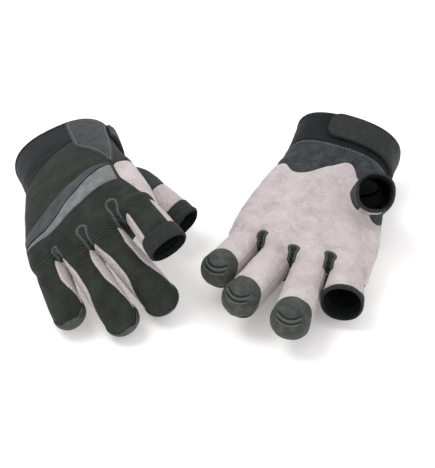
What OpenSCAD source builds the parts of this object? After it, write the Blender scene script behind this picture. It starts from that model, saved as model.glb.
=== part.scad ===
// A pair of three-full-finger sailing gloves, lying side by side.
// The right-hand glove lies palm down and the left-hand glove lies palm up.
// Millimetres, +Z up, origin on the table at the middle of the pair.
//
// Each glove is drawn in a hand frame: +X towards the thumb, +Y towards the fingertips and
// +Z out of the back of the hand, for a left hand. place() lays it on the table.
// A tube is a bent, tapering sleeve for the hand or for one finger, and every panel is a
// piece of a tube's wall: a stretch of its length and a stretch of the angle round it.
// Angle 0 faces the thumb side, 90 the back, 180 the little finger side and 270 the palm.

/* [Hand] */
// Length of the right-hand glove from the cuff's rim to the finger webs
right_hand_len = 121; // [112:1:130]
// Length of the left-hand glove, which lies flatter and pulled longer
left_hand_len = 136; // [126:1:144]
// Half the width of the wrist
wrist_half_w = 37; // [35:0.5:39]
// Half the width across the knuckles of the right-hand glove
right_palm_half_w = 47; // [46:0.5:49]
// Half the width across the knuckles of the left-hand glove
left_palm_half_w = 50; // [49:0.5:52]

/* [Cuff] */
// Neoprene thickness
neoprene_t = 2.5; // [2:0.1:3]
// Length of the edge binding along the rim
binding_len = 3; // [2:0.5:4]
// Width of the wrist strap
strap_w = 23; // [18:1:24]
// Thickness of the strap
strap_t = 2.2; // [1.8:0.1:2.6]

/* [Fabric] */
// Stretch fabric on the back
stretch_t = 1.3; // [1:0.1:1.6]
// Suede on the palm
suede_t = 1.4; // [1:0.1:1.6]
// Patches that are sewn on top of another panel
patch_t = 1.1; // [0.8:0.1:1.4]
// Sewing gap between neighbouring panels
seam = 0.4; // [0.3:0.1:0.6]

/* [Fingers] */
// Length of the dark band round each cut finger's opening, on its back
band_len = 12; // [9:0.5:13]
// Length of that band on the palm side of the index finger
index_band_palm = 4; // [3:0.5:9]
// Length of a fingertip cap on the palm side
cap_len = 20; // [16:1:22]
// Length of a fingertip cap where it wraps onto the back
cap_wrap = 3; // [2.5:0.5:6]
// Clearance between a finger and the hand, so that it can bend
joint_gap = 0.6; // [0.5:0.1:0.8]
// Clearance between the thumb and the hand
thumb_gap = 1.3; // [1.2:0.1:1.6]

/* [Pair] */
// Distance of the right-hand wrist left of the middle
right_x = 102; // [98:1:125]
// Distance of the left-hand wrist right of the middle
left_x = 100; // [97:1:115]
// How far each glove is turned away from straight ahead, right then left
right_turn = 17.5; // [14:0.5:20]
left_turn = 19; // [14:0.5:20]

/* [Hidden] */
RIGHT = 0;
LEFT = 1;
SIDES = ["right", "left"];
PIECES = ["back_panel", "palm_panel", "heel_panel", "thumb_side_patch", "knuckle_band",
    "web_gussets", "cuff", "cuff_binding", "strap_anchor", "strap", "hook_tape",
    "thumb_front", "thumb_back", "thumb_binding",
    "index_back", "index_front", "index_sidewalls", "index_binding",
    "middle_back", "middle_front", "middle_sidewalls", "middle_tip_cap",
    "ring_back", "ring_front", "ring_sidewalls", "ring_tip_cap",
    "little_back", "little_front", "little_sidewalls", "little_tip_cap"];

// Where each glove lies: place of the wrist, turn on the table and tilt about its length
wrist_at = [[-right_x, 72, 25.8], [left_x, 88, 27.4]];
turn_on_table = [right_turn, -left_turn];
tilt = [-18.5, -6];

// The hand tubes: how they rise from the wrist, curl and twist, in degrees
hand_len = [right_hand_len, left_hand_len];
hand_pitch = [-23, -5.5];
hand_curl = [32, 5];
hand_twist = [-8, 5];
palm_half_w = [right_palm_half_w, left_palm_half_w];

// Cross-sections of a hand, each at a share of its length:
// [share, half width, half height over, half height under, shift to the thumb side]
hand_sections = [
    [[0, wrist_half_w, 24, 24, 0],
     [0.17, wrist_half_w - 1, 23, 23, 1],
     [0.33, wrist_half_w - 1.5, 22, 22, 2.5],
     [0.51, palm_half_w[RIGHT] - 6.5, 22, 22, 3],
     [0.73, palm_half_w[RIGHT] - 1, 21, 20, 2],
     [0.92, palm_half_w[RIGHT], 19, 18, 1],
     [1, palm_half_w[RIGHT] - 1, 16, 15, 0]],
    [[0, wrist_half_w, 24, 25, 0],
     [0.15, wrist_half_w - 0.5, 23, 24, 0],
     [0.31, wrist_half_w, 22, 23, 0],
     [0.48, palm_half_w[LEFT] - 6, 21, 22, 0],
     [0.70, palm_half_w[LEFT] - 0.5, 19, 21, 0],
     [0.91, palm_half_w[LEFT], 17, 18, 0],
     [1, palm_half_w[LEFT] - 1, 15, 15, 0]]];

// Fingers, from little to index: [place across the hand, set back from the longest web,
// height, splay, droop, curl, length, half width at root and end, half height at both, closed]
fingers = [
    [[-34.5, 12.5, -2, -3, 7.5, 19.5, 47.5, 10.6, 10.8, 12, 10.5, true],
     [-12.2, 3, 0, 5.5, 22, 22.5, 58, 11, 11.5, 13, 11, true],
     [10.6, 3, 1, 14, 37, 26.5, 60, 11.2, 12, 13.5, 11.5, true],
     [36.6, 12.5, 4, 12.5, 8.5, 8, 37.5, 11.2, 13, 13, 10.5, false]],
    [[-36.5, 17.5, 0, -12.5, 2, 8, 47, 11, 11.8, 12, 11.5, true],
     [-12.9, 5.5, 0, -11, 3, 8, 57.5, 11.3, 12.2, 13, 12, true],
     [11.5, 3, 0, 3, 4.5, 6, 61.5, 11.7, 12.6, 13.5, 12.5, true],
     [36, 9, 0, 9, 5, 2, 28.5, 11.6, 13.4, 13.5, 13.5, false]]];
// How far each index finger is rolled back against the hand's twist
index_roll = [8, 0];
LITTLE = 0;
RING = 1;
MIDDLE = 2;
INDEX = 3;

// Thumbs: [root x, y, z, splay, droop, curl, length, half width at root and end, half height]
thumbs = [[37, 46, -6, 26.5, 14.5, 6, 52.5, 12, 11, 12, 11],
          [33, 63, -14.7, 12, 42, 8, 32.5, 14, 12.2, 14, 12.2]];

// Seam lines on the back of the hand, as [angle, share of the hand's length]
cuff_edge = [[0, 0.21], [56, 0.22], [80, 0.26], [106, 0.33], [120, 0.365], [132, 0.38], [144, 0.38],
    [160, 0.35], [180, 0.30], [204, 0.23], [228, 0.21], [360, 0.21]];
band_upper = [[50, 0.59], [69, 0.572], [81, 0.585], [93, 0.63], [104, 0.68], [120, 0.73], [145, 0.775]];
band_lower = [[50, 0.725], [72, 0.73], [84, 0.755], [96, 0.80], [108, 0.835], [126, 0.835], [145, 0.81]];
// Seam line of the heel panel on the palm side
heel_edge = [[180, 0.36], [225, 0.39], [242, 0.46], [254, 0.46], [264, 0.41], [273, 0.34], [281, 0.30],
    [290, 0.31], [300, 0.45], [308, 0.60], [333, 0.61], [357, 0.54]];
// Thumb-side edge of the back panel, as [share of the hand's length, angle]
back_edge = [[0.2, 4], [0.53, 4], [0.585, 48], [0.72, 48], [0.83, 30], [0.92, 12], [0.98, 2]];
// Edges of the strap anchor, which tapers from the rim to the knuckle band
anchor_low = [[0, 19], [0.3, 23], [0.45, 35], [0.57, 46]];
anchor_high = [[0, 79], [0.34, 77], [0.45, 61], [0.57, 50]];
// Where the web gussets start, from little to index, on the back and on the palm
gusset_back = [0.91, 0.89, 0.83];
gusset_palm = [0.88, 0.925, 0.905];
gusset_half_w = 4.5;
gusset_web_half_w = 2;
// How far a gusset stays behind the web line, and off the fabric under it
gusset_set_back = 1;
gusset_lift = 0.3;
// The knuckle band lies this far off the fabric, and runs between these angles
band_lift = 0.3;
band_from = 52;
band_to = 145;
// The suede patch beside the thumb runs between these shares of the hand's length, right then left
patch_from = 0.54;
patch_to = [0.86, 0.91];
anchor_end = 0.57;

// Colours
charcoal = [0.16, 0.17, 0.16];
navy = [0.09, 0.11, 0.15];
amara = [0.27, 0.28, 0.29];
suede = [0.80, 0.76, 0.77];
band_grey = [0.38, 0.39, 0.41];
trim_black = [0.12, 0.12, 0.13];
light_side = [0.78, 0.74, 0.74];

function lerp(a, b, f) = a + (b - a) * f;
function flat(rows) = [for (row = rows) for (p = row) p];
// An edge is one number, or a table of [place, value]
function edge(e, at) = is_num(e) ? e : lookup(at, e);
function curve(c, n) = sign(c) * pow(abs(c), 2 / n);
function turn_y(a, p) = [p.x * cos(a) + p.z * sin(a), p.y, -p.x * sin(a) + p.z * cos(a)];
function turn_z(a, p) = [p.x * cos(a) - p.y * sin(a), p.x * sin(a) + p.y * cos(a), p.z];

// A tube is [root, splay, pitch, curl, length, roll, twist, squareness, sections]
function section(t, s, k) = lookup(s, [for (row = t[8]) [row[0], row[k]]]);
function bend(t) = t[3] * PI / 180 / t[4];
function pitch_at(t, s) = t[2] + t[3] * s / t[4];
function path_y(t, s) = (sin(pitch_at(t, s)) - sin(t[2])) / bend(t);
function path_z(t, s) = (cos(pitch_at(t, s)) - cos(t[2])) / bend(t);
function tube_point(t, s, a, off) =
    let (height = (sin(a) > 0 ? section(t, s, 2) : section(t, s, 3)) + off,
         u = section(t, s, 4) + (section(t, s, 1) + off) * curve(cos(a), t[7]),
         h = height * curve(sin(a), t[7]),
         twist = t[6] * s / t[4],
         x = u * cos(twist) + h * sin(twist),
         w = h * cos(twist) - u * sin(twist),
         p = pitch_at(t, s))
    t[0] + turn_z(-t[1], turn_y(t[5], [x, path_y(t, s) + w * sin(p), path_z(t, s) + w * cos(p)]));

function hand(side) = [[0, 0, 0], 0, hand_pitch[side], hand_curl[side], hand_len[side], 0,
    hand_twist[side], 2.5,
    [for (c = hand_sections[side]) [c[0] * hand_len[side], c[1], c[2], c[3], c[4]]]];

// A point on the hand's end: u across, back from the end, h above the middle
function hand_end(side, u, back, h) =
    let (t = hand(side), p = pitch_at(t, t[4]), twist = t[6],
         x = u * cos(twist) + h * sin(twist),
         w = h * cos(twist) - u * sin(twist))
    [x, path_y(t, t[4]) - back * cos(p) + w * sin(p), path_z(t, t[4]) + back * sin(p) + w * cos(p)];

// The rounding of a closed fingertip, as [distance from its end, share of the full width]
tip_round = [[10, 1], [7, 0.95], [4, 0.8], [2, 0.6], [0.6, 0.34]];
tip_end = 0.6;
function finger(side, i) =
    let (f = fingers[side][i], len = f[6], mid_w = lerp(f[7], f[8], 0.6), mid_h = lerp(f[9], f[10], 0.6))
    [hand_end(side, f[0], f[1], f[2]), f[3], f[4], f[5], len,
        hand_twist[side] + (i == INDEX ? index_roll[side] : 0), 0, 2.2,
        concat([[0, f[7], f[9], f[9], 0], [len / 2, mid_w, mid_h, mid_h, 0]],
            f[11] ? [for (r = tip_round) [len - r[0], f[8] * r[1], f[10] * r[1], f[10] * r[1], 0]]
                  : [[len, f[8], f[10], f[10], 0]])];

// The thumb's sleeve narrows to nothing inside the hand, where it is cut away
thumb_inside = 18;
function thumb(side) =
    let (f = thumbs[side])
    [[f[0], f[1], f[2]], f[3], f[4], f[5], f[6], 0, 0, 2.2,
        [[-thumb_inside, f[7] / 4, f[9] / 4, f[9] / 4, 0],
         [-8, f[7] * 0.7, f[9] * 0.7, f[9] * 0.7, 0],
         [5, f[7], f[9], f[9], 0],
         [f[6], f[8], f[10], f[10], 0]]];

// The line of the finger webs: how far behind the hand's end it runs, across the hand
function web_line(side, u) = -lookup(u, [for (f = fingers[side]) [f[0], f[1]]]);

// How far a point lies in front of the web line
function beyond_web(side, p) =
    let (t = hand(side), a = pitch_at(t, t[4]),
         d = p - [0, path_y(t, t[4]), path_z(t, t[4])])
    d.y * cos(a) - d.z * sin(a) - web_line(side, p.x);

// A finger starts where its wall is joint_gap in front of the web line
function finger_start(side, t, a) =
    let (probe = 6, d0 = beyond_web(side, tube_point(t, 0, a, 0)),
         d1 = beyond_web(side, tube_point(t, probe, a, 0)))
    (joint_gap - d0) * probe / (d1 - d0);

// How far a point lies outside the hand's surface
function outside_hand(side, p) =
    let (t = hand(side), k = bend(t),
         dy = p.y + sin(t[2]) / k, dz = p.z + cos(t[2]) / k,
         s = (atan2(dy, dz) - t[2]) * PI / 180 / k,
         w = norm([dy, dz]) - 1 / k,
         twist = t[6] * s / t[4],
         u = p.x * cos(twist) - w * sin(twist) - section(t, s, 4),
         h = p.x * sin(twist) + w * cos(twist),
         a = section(t, s, 1), b = h > 0 ? section(t, s, 2) : section(t, s, 3))
    (pow(pow(abs(u) / a, t[7]) + pow(abs(h) / b, t[7]), 1 / t[7]) - 1) * min(a, b);

// A thumb starts where its wall comes out of the hand, found by halving a stretch
function thumb_start(side, t, a, lo, hi, n = 14) =
    n == 0 ? hi :
    let (mid = (lo + hi) / 2)
    outside_hand(side, tube_point(t, mid, a, 0)) < thumb_gap
        ? thumb_start(side, t, a, mid, hi, n - 1)
        : thumb_start(side, t, a, lo, mid, n - 1);

start_step = 20;
function finger_starts(side, t) =
    [for (a = [-180:start_step:540]) [a, finger_start(side, t, a)]];
function thumb_starts(side, t) =
    [for (a = [-180:start_step:540]) [a, thumb_start(side, t, a, -thumb_inside, t[4])]];

// The solid between two grids of points with the same rows and columns. A ring's last
// column joins its first. A tip closes the last row of both grids.
module wall(outer, inner, ring = false, tip = false) {
    rows = len(outer);
    cols = len(outer[0]);
    count = rows * cols;
    last = rows - 1;
    across = ring ? cols - 1 : cols - 2;
    function at(layer, i, j) = layer * count + i * cols + j % cols;
    function quad(a, b, c, d) = [[a, b, c], [a, c, d]];
    skin = flat([for (i = [0:last - 1]) for (j = [0:across])
        concat(quad(at(0, i, j), at(0, i, j + 1), at(0, i + 1, j + 1), at(0, i + 1, j)),
               quad(at(1, i, j), at(1, i + 1, j), at(1, i + 1, j + 1), at(1, i, j + 1)))]);
    start = flat([for (j = [0:across])
        quad(at(0, 0, j), at(1, 0, j), at(1, 0, j + 1), at(0, 0, j + 1))]);
    end = tip
        ? concat([for (j = [1:cols - 2]) [at(0, last, 0), at(0, last, j), at(0, last, j + 1)]],
                 [for (j = [1:cols - 2]) [at(1, last, 0), at(1, last, j + 1), at(1, last, j)]])
        : flat([for (j = [0:across])
            quad(at(0, last, j), at(0, last, j + 1), at(1, last, j + 1), at(1, last, j))]);
    sides = ring ? [] : flat([for (i = [0:last - 1])
        concat(quad(at(0, i, 0), at(0, i + 1, 0), at(1, i + 1, 0), at(1, i, 0)),
               quad(at(0, i, cols - 1), at(1, i, cols - 1),
                    at(1, i + 1, cols - 1), at(0, i + 1, cols - 1)))]);
    polyhedron(concat(flat(outer), flat(inner)), concat(skin, start, end, sides));
}

// Points over part of a tube: from s0 to s1 along it and from a0 to a1 round it
function tube_grid(t, s0, s1, a0, a1, off, rows, cols) =
    [for (i = [0:rows]) [for (j = [0:cols])
        let (low = edge(a0, 0), high = edge(a1, 0),
             s_low = lerp(edge(s0, low), edge(s1, low), i / rows),
             s_high = lerp(edge(s0, high), edge(s1, high), i / rows),
             a = lerp(edge(a0, s_low), edge(a1, s_high), j / cols))
        tube_point(t, lerp(edge(s0, a), edge(s1, a), i / rows), a, off)]];
function ring_grid(t, s0, s1, off, rows, cols) =
    [for (i = [0:rows]) [for (j = [0:cols - 1])
        let (a = 360 * j / cols)
        tube_point(t, lerp(edge(s0, a), edge(s1, a), i / rows), a, off)]];

module panel(t, s0, s1, a0, a1, off, thick, rows, cols)
    wall(tube_grid(t, s0, s1, a0, a1, off, rows, cols),
         tube_grid(t, s0, s1, a0, a1, off - thick, rows, cols));
module band(t, s0, s1, off, thick, rows, cols)
    wall(ring_grid(t, s0, s1, off, rows, cols), ring_grid(t, s0, s1, off - thick, rows, cols),
         ring = true);

// Lays a glove on the table. The right-hand glove is the mirror image of the left-hand one.
module place(side)
    translate(wrist_at[side])
    rotate([0, 0, turn_on_table[side]])
    if (side == RIGHT)
        mirror([0, 1, 0]) rotate([0, tilt[side], 0]) children();
    else
        rotate([180, 0, 0]) rotate([0, tilt[side], 0]) children();

// Edges of the hand's panels, in millimetres along it
function along(side, line, shift = 0) = [for (p = line) [p[0], p[1] * hand_len[side] + shift]];
function by_length(side, line, shift = 0) =
    [for (p = line) [p[0] * hand_len[side], p[1] + shift]];
// The hand's panels stop short of the web line, where the gussets pass through
web_margin = 3;
function across_end(t, a) = section(t, t[4], 4) + section(t, t[4], 1) * curve(cos(a), t[7]);
function hand_front(side) =
    let (t = hand(side))
    [for (a = [0:10:360]) [a, t[4] - web_margin + web_line(side, across_end(t, a))]];
half_seam = seam / 2;
seam_angle = 0.6;

// The sleeve's inside where the thumb leaves the hand, cut out of the hand's panels
module thumb_hole(side) {
    t = thumb(side);
    core = ring_grid(t, 2 - thumb_inside, 20, -suede_t, 4, 16);
    rows = len(core);
    cols = 16;
    points = flat(core);
    skin = flat([for (i = [0:rows - 2]) for (j = [0:cols - 1])
        [[i * cols + j, i * cols + (j + 1) % cols, (i + 1) * cols + (j + 1) % cols],
         [i * cols + j, (i + 1) * cols + (j + 1) % cols, (i + 1) * cols + j]]]);
    ends = [[for (j = [cols - 1:-1:0]) j], [for (j = [0:cols - 1]) (rows - 1) * cols + j]];
    polyhedron(points, concat(skin, ends));
}

// The suede patch's outline, grown by some millimetres and by an angle
module side_patch_block(side, grow, grow_angle)
    panel(hand(side), patch_from * hand_len[side] - grow, patch_to[side] * hand_len[side] + grow,
        seam_angle - 4 * grow_angle, by_length(side, back_edge, grow_angle - seam_angle),
        grow, suede_t + 2 * grow, 12, 5);

module back_panel(side)
    color(charcoal) difference() {
        panel(hand(side), along(side, cuff_edge, half_seam), hand_front(side),
            by_length(side, back_edge, seam_angle), 180 - seam_angle, 0, stretch_t, 10, 14);
        thumb_hole(side);
        side_patch_block(side, 0.5, 1);
    }
module palm_panel(side)
    color(suede) difference() {
        panel(hand(side), along(side, heel_edge, half_seam), hand_front(side),
            180 + seam_angle, 360 - seam_angle, 0, suede_t, 8, 18);
        thumb_hole(side);
    }
module heel_panel(side)
    color(amara) difference() {
        panel(hand(side), along(side, cuff_edge, half_seam), along(side, heel_edge, -half_seam),
            180 + seam_angle, 360 - seam_angle, 0, suede_t, 4, 18);
        thumb_hole(side);
    }
// The suede patch between thumb and index finger
module thumb_side_patch(side)
    color(suede) difference() {
        side_patch_block(side, 0, 0);
        thumb_hole(side);
    }
module knuckle_band(side)
    color(band_grey)
    panel(hand(side), along(side, band_upper), along(side, band_lower), band_from, band_to,
        band_lift + patch_t, patch_t, 3, 14);
module cuff(side)
    color(navy)
    band(hand(side), binding_len + half_seam, along(side, cuff_edge, -half_seam), 0, neoprene_t, 3, 30);
module cuff_binding(side)
    color(trim_black)
    band(hand(side), 0, binding_len, 0.4, neoprene_t + 0.8, 1, 30);
module strap_anchor(side)
    color(amara)
    panel(hand(side), binding_len + 1, anchor_end * hand_len[side], by_length(side, anchor_low),
        by_length(side, anchor_high), band_lift + patch_t, patch_t, 6, 6);

// A gusset is a ribbon that runs over the web from the back to the palm, at place u
function ribbon_point(side, s, u, back, off) =
    let (t = hand(side), c = (u - section(t, s, 4)) / section(t, s, 1),
         a = acos(sign(c) * pow(abs(c), t[7] / 2)))
    tube_point(t, s, back ? a : 360 - a, off);
// Its half width, from the round start at 0 to the narrow web at 1
function gusset_w(f) =
    let (round_start = sqrt(max(0.06, 1 - pow(1 - 2 * min(f, 0.5), 2))))
    lerp(gusset_half_w * round_start, gusset_web_half_w, max(0, 2 * f - 1));
function gusset_row(side, start, web, f, u, back, off) =
    [for (d = [1, 0, -1]) ribbon_point(side, lerp(start, web, f), u + d * gusset_w(f), back, off)];
gusset_rows = 5;
function gusset_grid(side, i, off, inset) =
    let (u = (fingers[side][i][0] + fingers[side][i][7]
            + fingers[side][i + 1][0] - fingers[side][i + 1][7]) / 2,
         web = hand_len[side] + web_line(side, u) - gusset_set_back - inset)
    concat([for (r = [0:gusset_rows])
                gusset_row(side, gusset_back[i] * hand_len[side], web, r / gusset_rows, u, true, off)],
           [for (r = [gusset_rows:-1:0])
                gusset_row(side, gusset_palm[i] * hand_len[side], web, r / gusset_rows, u, false, off)]);
module web_gussets(side)
    color(amara)
    for (i = [LITTLE:MIDDLE])
        wall(gusset_grid(side, i, gusset_lift + patch_t, 0),
             gusset_grid(side, i, gusset_lift, patch_t));

// The strap leaves the thumb side of the wrist and lies over the palm side of the cuff
strap_from = 1;
strap_root = 16;
strap_end = -104;
strap_rise = 1.3;
strap_shape = [[strap_end, 0.62], [strap_end + 4, 0.85], [strap_end + 10, 1], [strap_root, 1]];
function strap_side(sign_of_edge) =
    [for (p = strap_shape) [p[0], strap_from + strap_w / 2 * (1 + sign_of_edge * p[1])]];
module strap(side)
    color(trim_black)
    panel(hand(side), strap_side(-1), strap_side(1), strap_end, strap_root,
        strap_rise + strap_t, strap_t, 2, 18);
// The hook tape sits between the strap's free end and the cuff, clear of both
hook_len = 38;
hook_t = 0.6;
hook_gap = 0.4;
hook_inset = 6;
module hook_tape(side)
    color(navy)
    panel(hand(side), strap_from + hook_inset / 2, strap_from + strap_w - hook_inset / 2,
        strap_end + hook_inset, strap_end + hook_inset + hook_len, strap_rise - hook_gap, hook_t, 1, 6);

back_low = 24;
back_high = 156;
finger_rows = 6;
function shifted(line, by) = is_num(line) ? line + by : [for (p = line) [p[0], p[1] + by]];
function opposite(line, by) = is_num(line) ? 180 - line + by : [for (p = line) [p[0], 180 - p[1] + by]];
// The top edge of a finger's side walls, which reach higher near the webs of the right-hand glove
function wall_top(side, i, t) =
    side == LEFT ? back_low
    : i == INDEX ? [[0, 40], [t[4] * 0.15, 54], [t[4], 54]]
    : [[0, 40], [t[4] * 0.12, 56], [t[4] * 0.4, 56], [t[4] * 0.7, 8], [t[4], 8]];
// Where a closed finger's panels stop and its cap starts, round the finger
function cap_start(t) =
    [for (p = [[-200, 0], [-170, 0.3], [-150, 0.7], [-90, 1], [-30, 0.7], [-10, 0.3], [20, 0],
            [160, 0], [190, 0.3], [210, 0.7], [270, 1], [330, 0.7], [350, 0.3], [380, 0]])
        [p[0], t[4] - lerp(cap_wrap, cap_len, p[1])]];
// Where an open end's band starts: palm_len before the end on the palm, band_len on the back
function rim_start(t, palm_len, back_len) =
    [for (p = [[-54, 0], [-36, 0.1], [-18, 0.4], [0, 0.8], [18, 1], [162, 1], [180, 0.8], [198, 0.4],
            [216, 0.1], [234, 0], [306, 0], [324, 0.1], [342, 0.4], [360, 0.8]])
        [p[0], t[4] - lerp(palm_len, back_len, p[1])]];
cap_seam = 0.7;
function panel_end(side, i, t) =
    fingers[side][i][11] ? shifted(cap_start(t), -cap_seam)
    : shifted(rim_start(t, index_band_palm, band_len), -seam);
// The little finger has its outer wall in the same cloth as its back
module finger_back(side, i) {
    t = finger(side, i);
    color(charcoal) {
        panel(t, finger_starts(side, t), panel_end(side, i, t), shifted(wall_top(side, i, t), 1),
            i == LITTLE ? back_high - 1 : opposite(wall_top(side, i, t), -1),
            0, stretch_t, finger_rows, 7);
        if (i == LITTLE)
            outer_wall(side, i);
    }
}
module outer_wall(side, i) {
    t = finger(side, i);
    panel(t, finger_starts(side, t), panel_end(side, i, t),
        i == LITTLE ? back_high + 1 : opposite(wall_top(side, i, t), 1), 360 - back_high - 1,
        0, suede_t, finger_rows, 3);
}
module finger_front(side, i) {
    t = finger(side, i);
    color(suede)
    panel(t, finger_starts(side, t), panel_end(side, i, t), 180 + back_low + 1, 180 + back_high - 1,
        0, suede_t, finger_rows, 7);
}
module finger_sidewalls(side, i) {
    t = finger(side, i);
    color(light_side) {
        panel(t, finger_starts(side, t), panel_end(side, i, t), -back_low + 1,
            shifted(wall_top(side, i, t), -1), 0, suede_t, finger_rows, 3);
        if (i != LITTLE)
            outer_wall(side, i);
    }
}
module finger_tip_cap(side, i) {
    t = finger(side, i);
    color(trim_black)
    wall(ring_grid(t, cap_start(t), t[4] - tip_end, 0, 7, 16),
         ring_grid(t, cap_start(t), t[4] - tip_end - suede_t, -suede_t, 7, 16),
         ring = true, tip = true);
}
module open_band(t, palm_len, back_len)
    color(trim_black)
    band(t, rim_start(t, palm_len, back_len), t[4], 0.3, suede_t + 0.6, 2, 20);
module index_binding(side)
    open_band(finger(side, INDEX), index_band_palm, band_len);

// The thumb's front wraps its palm side and root; its back is a suede piece near the opening
thumb_back_from = 0.42;
thumb_back_low = [0, 54];
thumb_back_high = 162;
thumb_band = [band_len, 8];
module thumb_front(side) {
    t = thumb(side);
    low = thumb_back_low[side];
    turn_back = t[4] * thumb_back_from - seam;
    full = t[4] - thumb_band[side] - seam;
    color(amara)
    band(t, thumb_starts(side, t),
        [[low - 18, full], [low, turn_back], [thumb_back_high, turn_back], [thumb_back_high + 18, full],
            [low + 342, full], [low + 360, turn_back]],
        0, suede_t, 4, 20);
}
module thumb_back(side) {
    t = thumb(side);
    color(suede)
    panel(t, t[4] * thumb_back_from, t[4] - thumb_band[side] - seam, thumb_back_low[side] + 2,
        thumb_back_high - 2, 0, suede_t, 3, 8);
}
module thumb_binding(side)
    open_band(thumb(side), thumb_band[side], thumb_band[side]);

module piece(side, name) {
    if (name == "back_panel") back_panel(side);
    if (name == "palm_panel") palm_panel(side);
    if (name == "heel_panel") heel_panel(side);
    if (name == "thumb_side_patch") thumb_side_patch(side);
    if (name == "knuckle_band") knuckle_band(side);
    if (name == "web_gussets") web_gussets(side);
    if (name == "cuff") cuff(side);
    if (name == "cuff_binding") cuff_binding(side);
    if (name == "strap_anchor") strap_anchor(side);
    if (name == "strap") strap(side);
    if (name == "hook_tape") hook_tape(side);
    if (name == "thumb_front") thumb_front(side);
    if (name == "thumb_back") thumb_back(side);
    if (name == "thumb_binding") thumb_binding(side);
    if (name == "index_back") finger_back(side, INDEX);
    if (name == "index_front") finger_front(side, INDEX);
    if (name == "index_sidewalls") finger_sidewalls(side, INDEX);
    if (name == "index_binding") index_binding(side);
    if (name == "middle_back") finger_back(side, MIDDLE);
    if (name == "middle_front") finger_front(side, MIDDLE);
    if (name == "middle_sidewalls") finger_sidewalls(side, MIDDLE);
    if (name == "middle_tip_cap") finger_tip_cap(side, MIDDLE);
    if (name == "ring_back") finger_back(side, RING);
    if (name == "ring_front") finger_front(side, RING);
    if (name == "ring_sidewalls") finger_sidewalls(side, RING);
    if (name == "ring_tip_cap") finger_tip_cap(side, RING);
    if (name == "little_back") finger_back(side, LITTLE);
    if (name == "little_front") finger_front(side, LITTLE);
    if (name == "little_sidewalls") finger_sidewalls(side, LITTLE);
    if (name == "little_tip_cap") finger_tip_cap(side, LITTLE);
}

for (side = [RIGHT, LEFT])
    for (name = PIECES)
        place(side) piece(side, name);
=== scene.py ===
import math
import bpy
import numpy as np
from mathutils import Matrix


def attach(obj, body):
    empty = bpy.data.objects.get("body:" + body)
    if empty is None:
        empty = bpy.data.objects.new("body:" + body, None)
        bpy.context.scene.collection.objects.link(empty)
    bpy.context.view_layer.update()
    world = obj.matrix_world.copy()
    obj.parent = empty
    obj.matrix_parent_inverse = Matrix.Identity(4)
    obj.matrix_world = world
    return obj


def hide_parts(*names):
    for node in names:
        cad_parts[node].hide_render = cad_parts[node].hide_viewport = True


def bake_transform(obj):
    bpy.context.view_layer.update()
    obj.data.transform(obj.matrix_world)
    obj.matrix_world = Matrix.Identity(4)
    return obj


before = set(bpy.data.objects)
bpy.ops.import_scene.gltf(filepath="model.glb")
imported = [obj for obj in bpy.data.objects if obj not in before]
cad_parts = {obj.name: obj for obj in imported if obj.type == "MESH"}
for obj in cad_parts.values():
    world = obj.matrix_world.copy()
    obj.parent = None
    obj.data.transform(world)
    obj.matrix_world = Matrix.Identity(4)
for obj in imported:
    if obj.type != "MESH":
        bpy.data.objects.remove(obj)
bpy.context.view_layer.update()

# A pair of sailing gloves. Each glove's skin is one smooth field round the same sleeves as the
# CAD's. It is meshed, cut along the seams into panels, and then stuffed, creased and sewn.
import openvdb as vdb
from mathutils import Vector
from mathutils.kdtree import KDTree

RIGHT, LEFT = 0, 1
SIDES = ("right", "left")
FINGERS = ("little", "ring", "middle", "index")
INDEX = 3
CELL = 1.3  # millimetres between the skin's grid points

# ---------------------------------------------------------------- design values, as in the CAD but for
# the knuckle band's ends, the index finger's walls, the cap seams and the left thumb's back
WRIST_AT = ((-102, 72, 25.8), (100, 88, 27.4))
TURN = (17.5, -19)
TILT = (-18.5, -6)
HAND_LEN = (121, 136)
HAND_PITCH = (-23, -5.5)
HAND_CURL = (32, 5)
HAND_TWIST = (-8, 5)
HAND_SECTIONS = (
    ((0, 37, 24, 24, 0), (0.17, 36, 23, 23, 1), (0.33, 35.5, 22, 22, 2.5),
     (0.51, 40.5, 22, 22, 3), (0.73, 46, 21, 20, 2), (0.92, 47, 19, 18, 1), (1, 46, 16, 15, 0)),
    ((0, 37, 24, 25, 0), (0.15, 36.5, 23, 24, 0), (0.31, 37, 22, 23, 0),
     (0.48, 44, 21, 22, 0), (0.70, 49.5, 19, 21, 0), (0.91, 50, 17, 18, 0), (1, 49, 15, 15, 0)))
FINGER_ROWS = (
    ((-34.5, 12.5, -2, -3, 7.5, 19.5, 47.5, 10.6, 10.8, 12, 10.5, True),
     (-12.2, 3, 0, 5.5, 22, 22.5, 58, 11, 11.5, 13, 11, True),
     (10.6, 3, 1, 14, 37, 26.5, 60, 11.2, 12, 13.5, 11.5, True),
     (36.6, 12.5, 4, 12.5, 8.5, 8, 37.5, 11.2, 13, 13, 10.5, False)),
    ((-36.5, 17.5, 0, -12.5, 2, 8, 47, 11, 11.8, 12, 11.5, True),
     (-12.9, 5.5, 0, -11, 3, 8, 57.5, 11.3, 12.2, 13, 12, True),
     (11.5, 3, 0, 3, 4.5, 6, 61.5, 11.7, 12.6, 13.5, 12.5, True),
     (36, 9, 0, 9, 5, 2, 28.5, 11.6, 13.4, 13.5, 13.5, False)))
INDEX_ROLL = (8, 0)
THUMB_ROWS = ((37, 46, -6, 26.5, 14.5, 6, 52.5, 12, 11, 12, 11),
              (33, 63, -14.7, 12, 42, 8, 32.5, 14, 12.2, 14, 12.2))
CUFF_EDGE = ((0, 0.21), (56, 0.22), (80, 0.26), (106, 0.33), (120, 0.365), (132, 0.38), (144, 0.38),
             (160, 0.35), (180, 0.30), (204, 0.23), (228, 0.21), (360, 0.21))
BAND_UPPER = ((50, 0.59), (69, 0.572), (81, 0.585), (93, 0.63), (104, 0.675), (120, 0.715), (138, 0.74),
              (158, 0.745))
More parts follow.
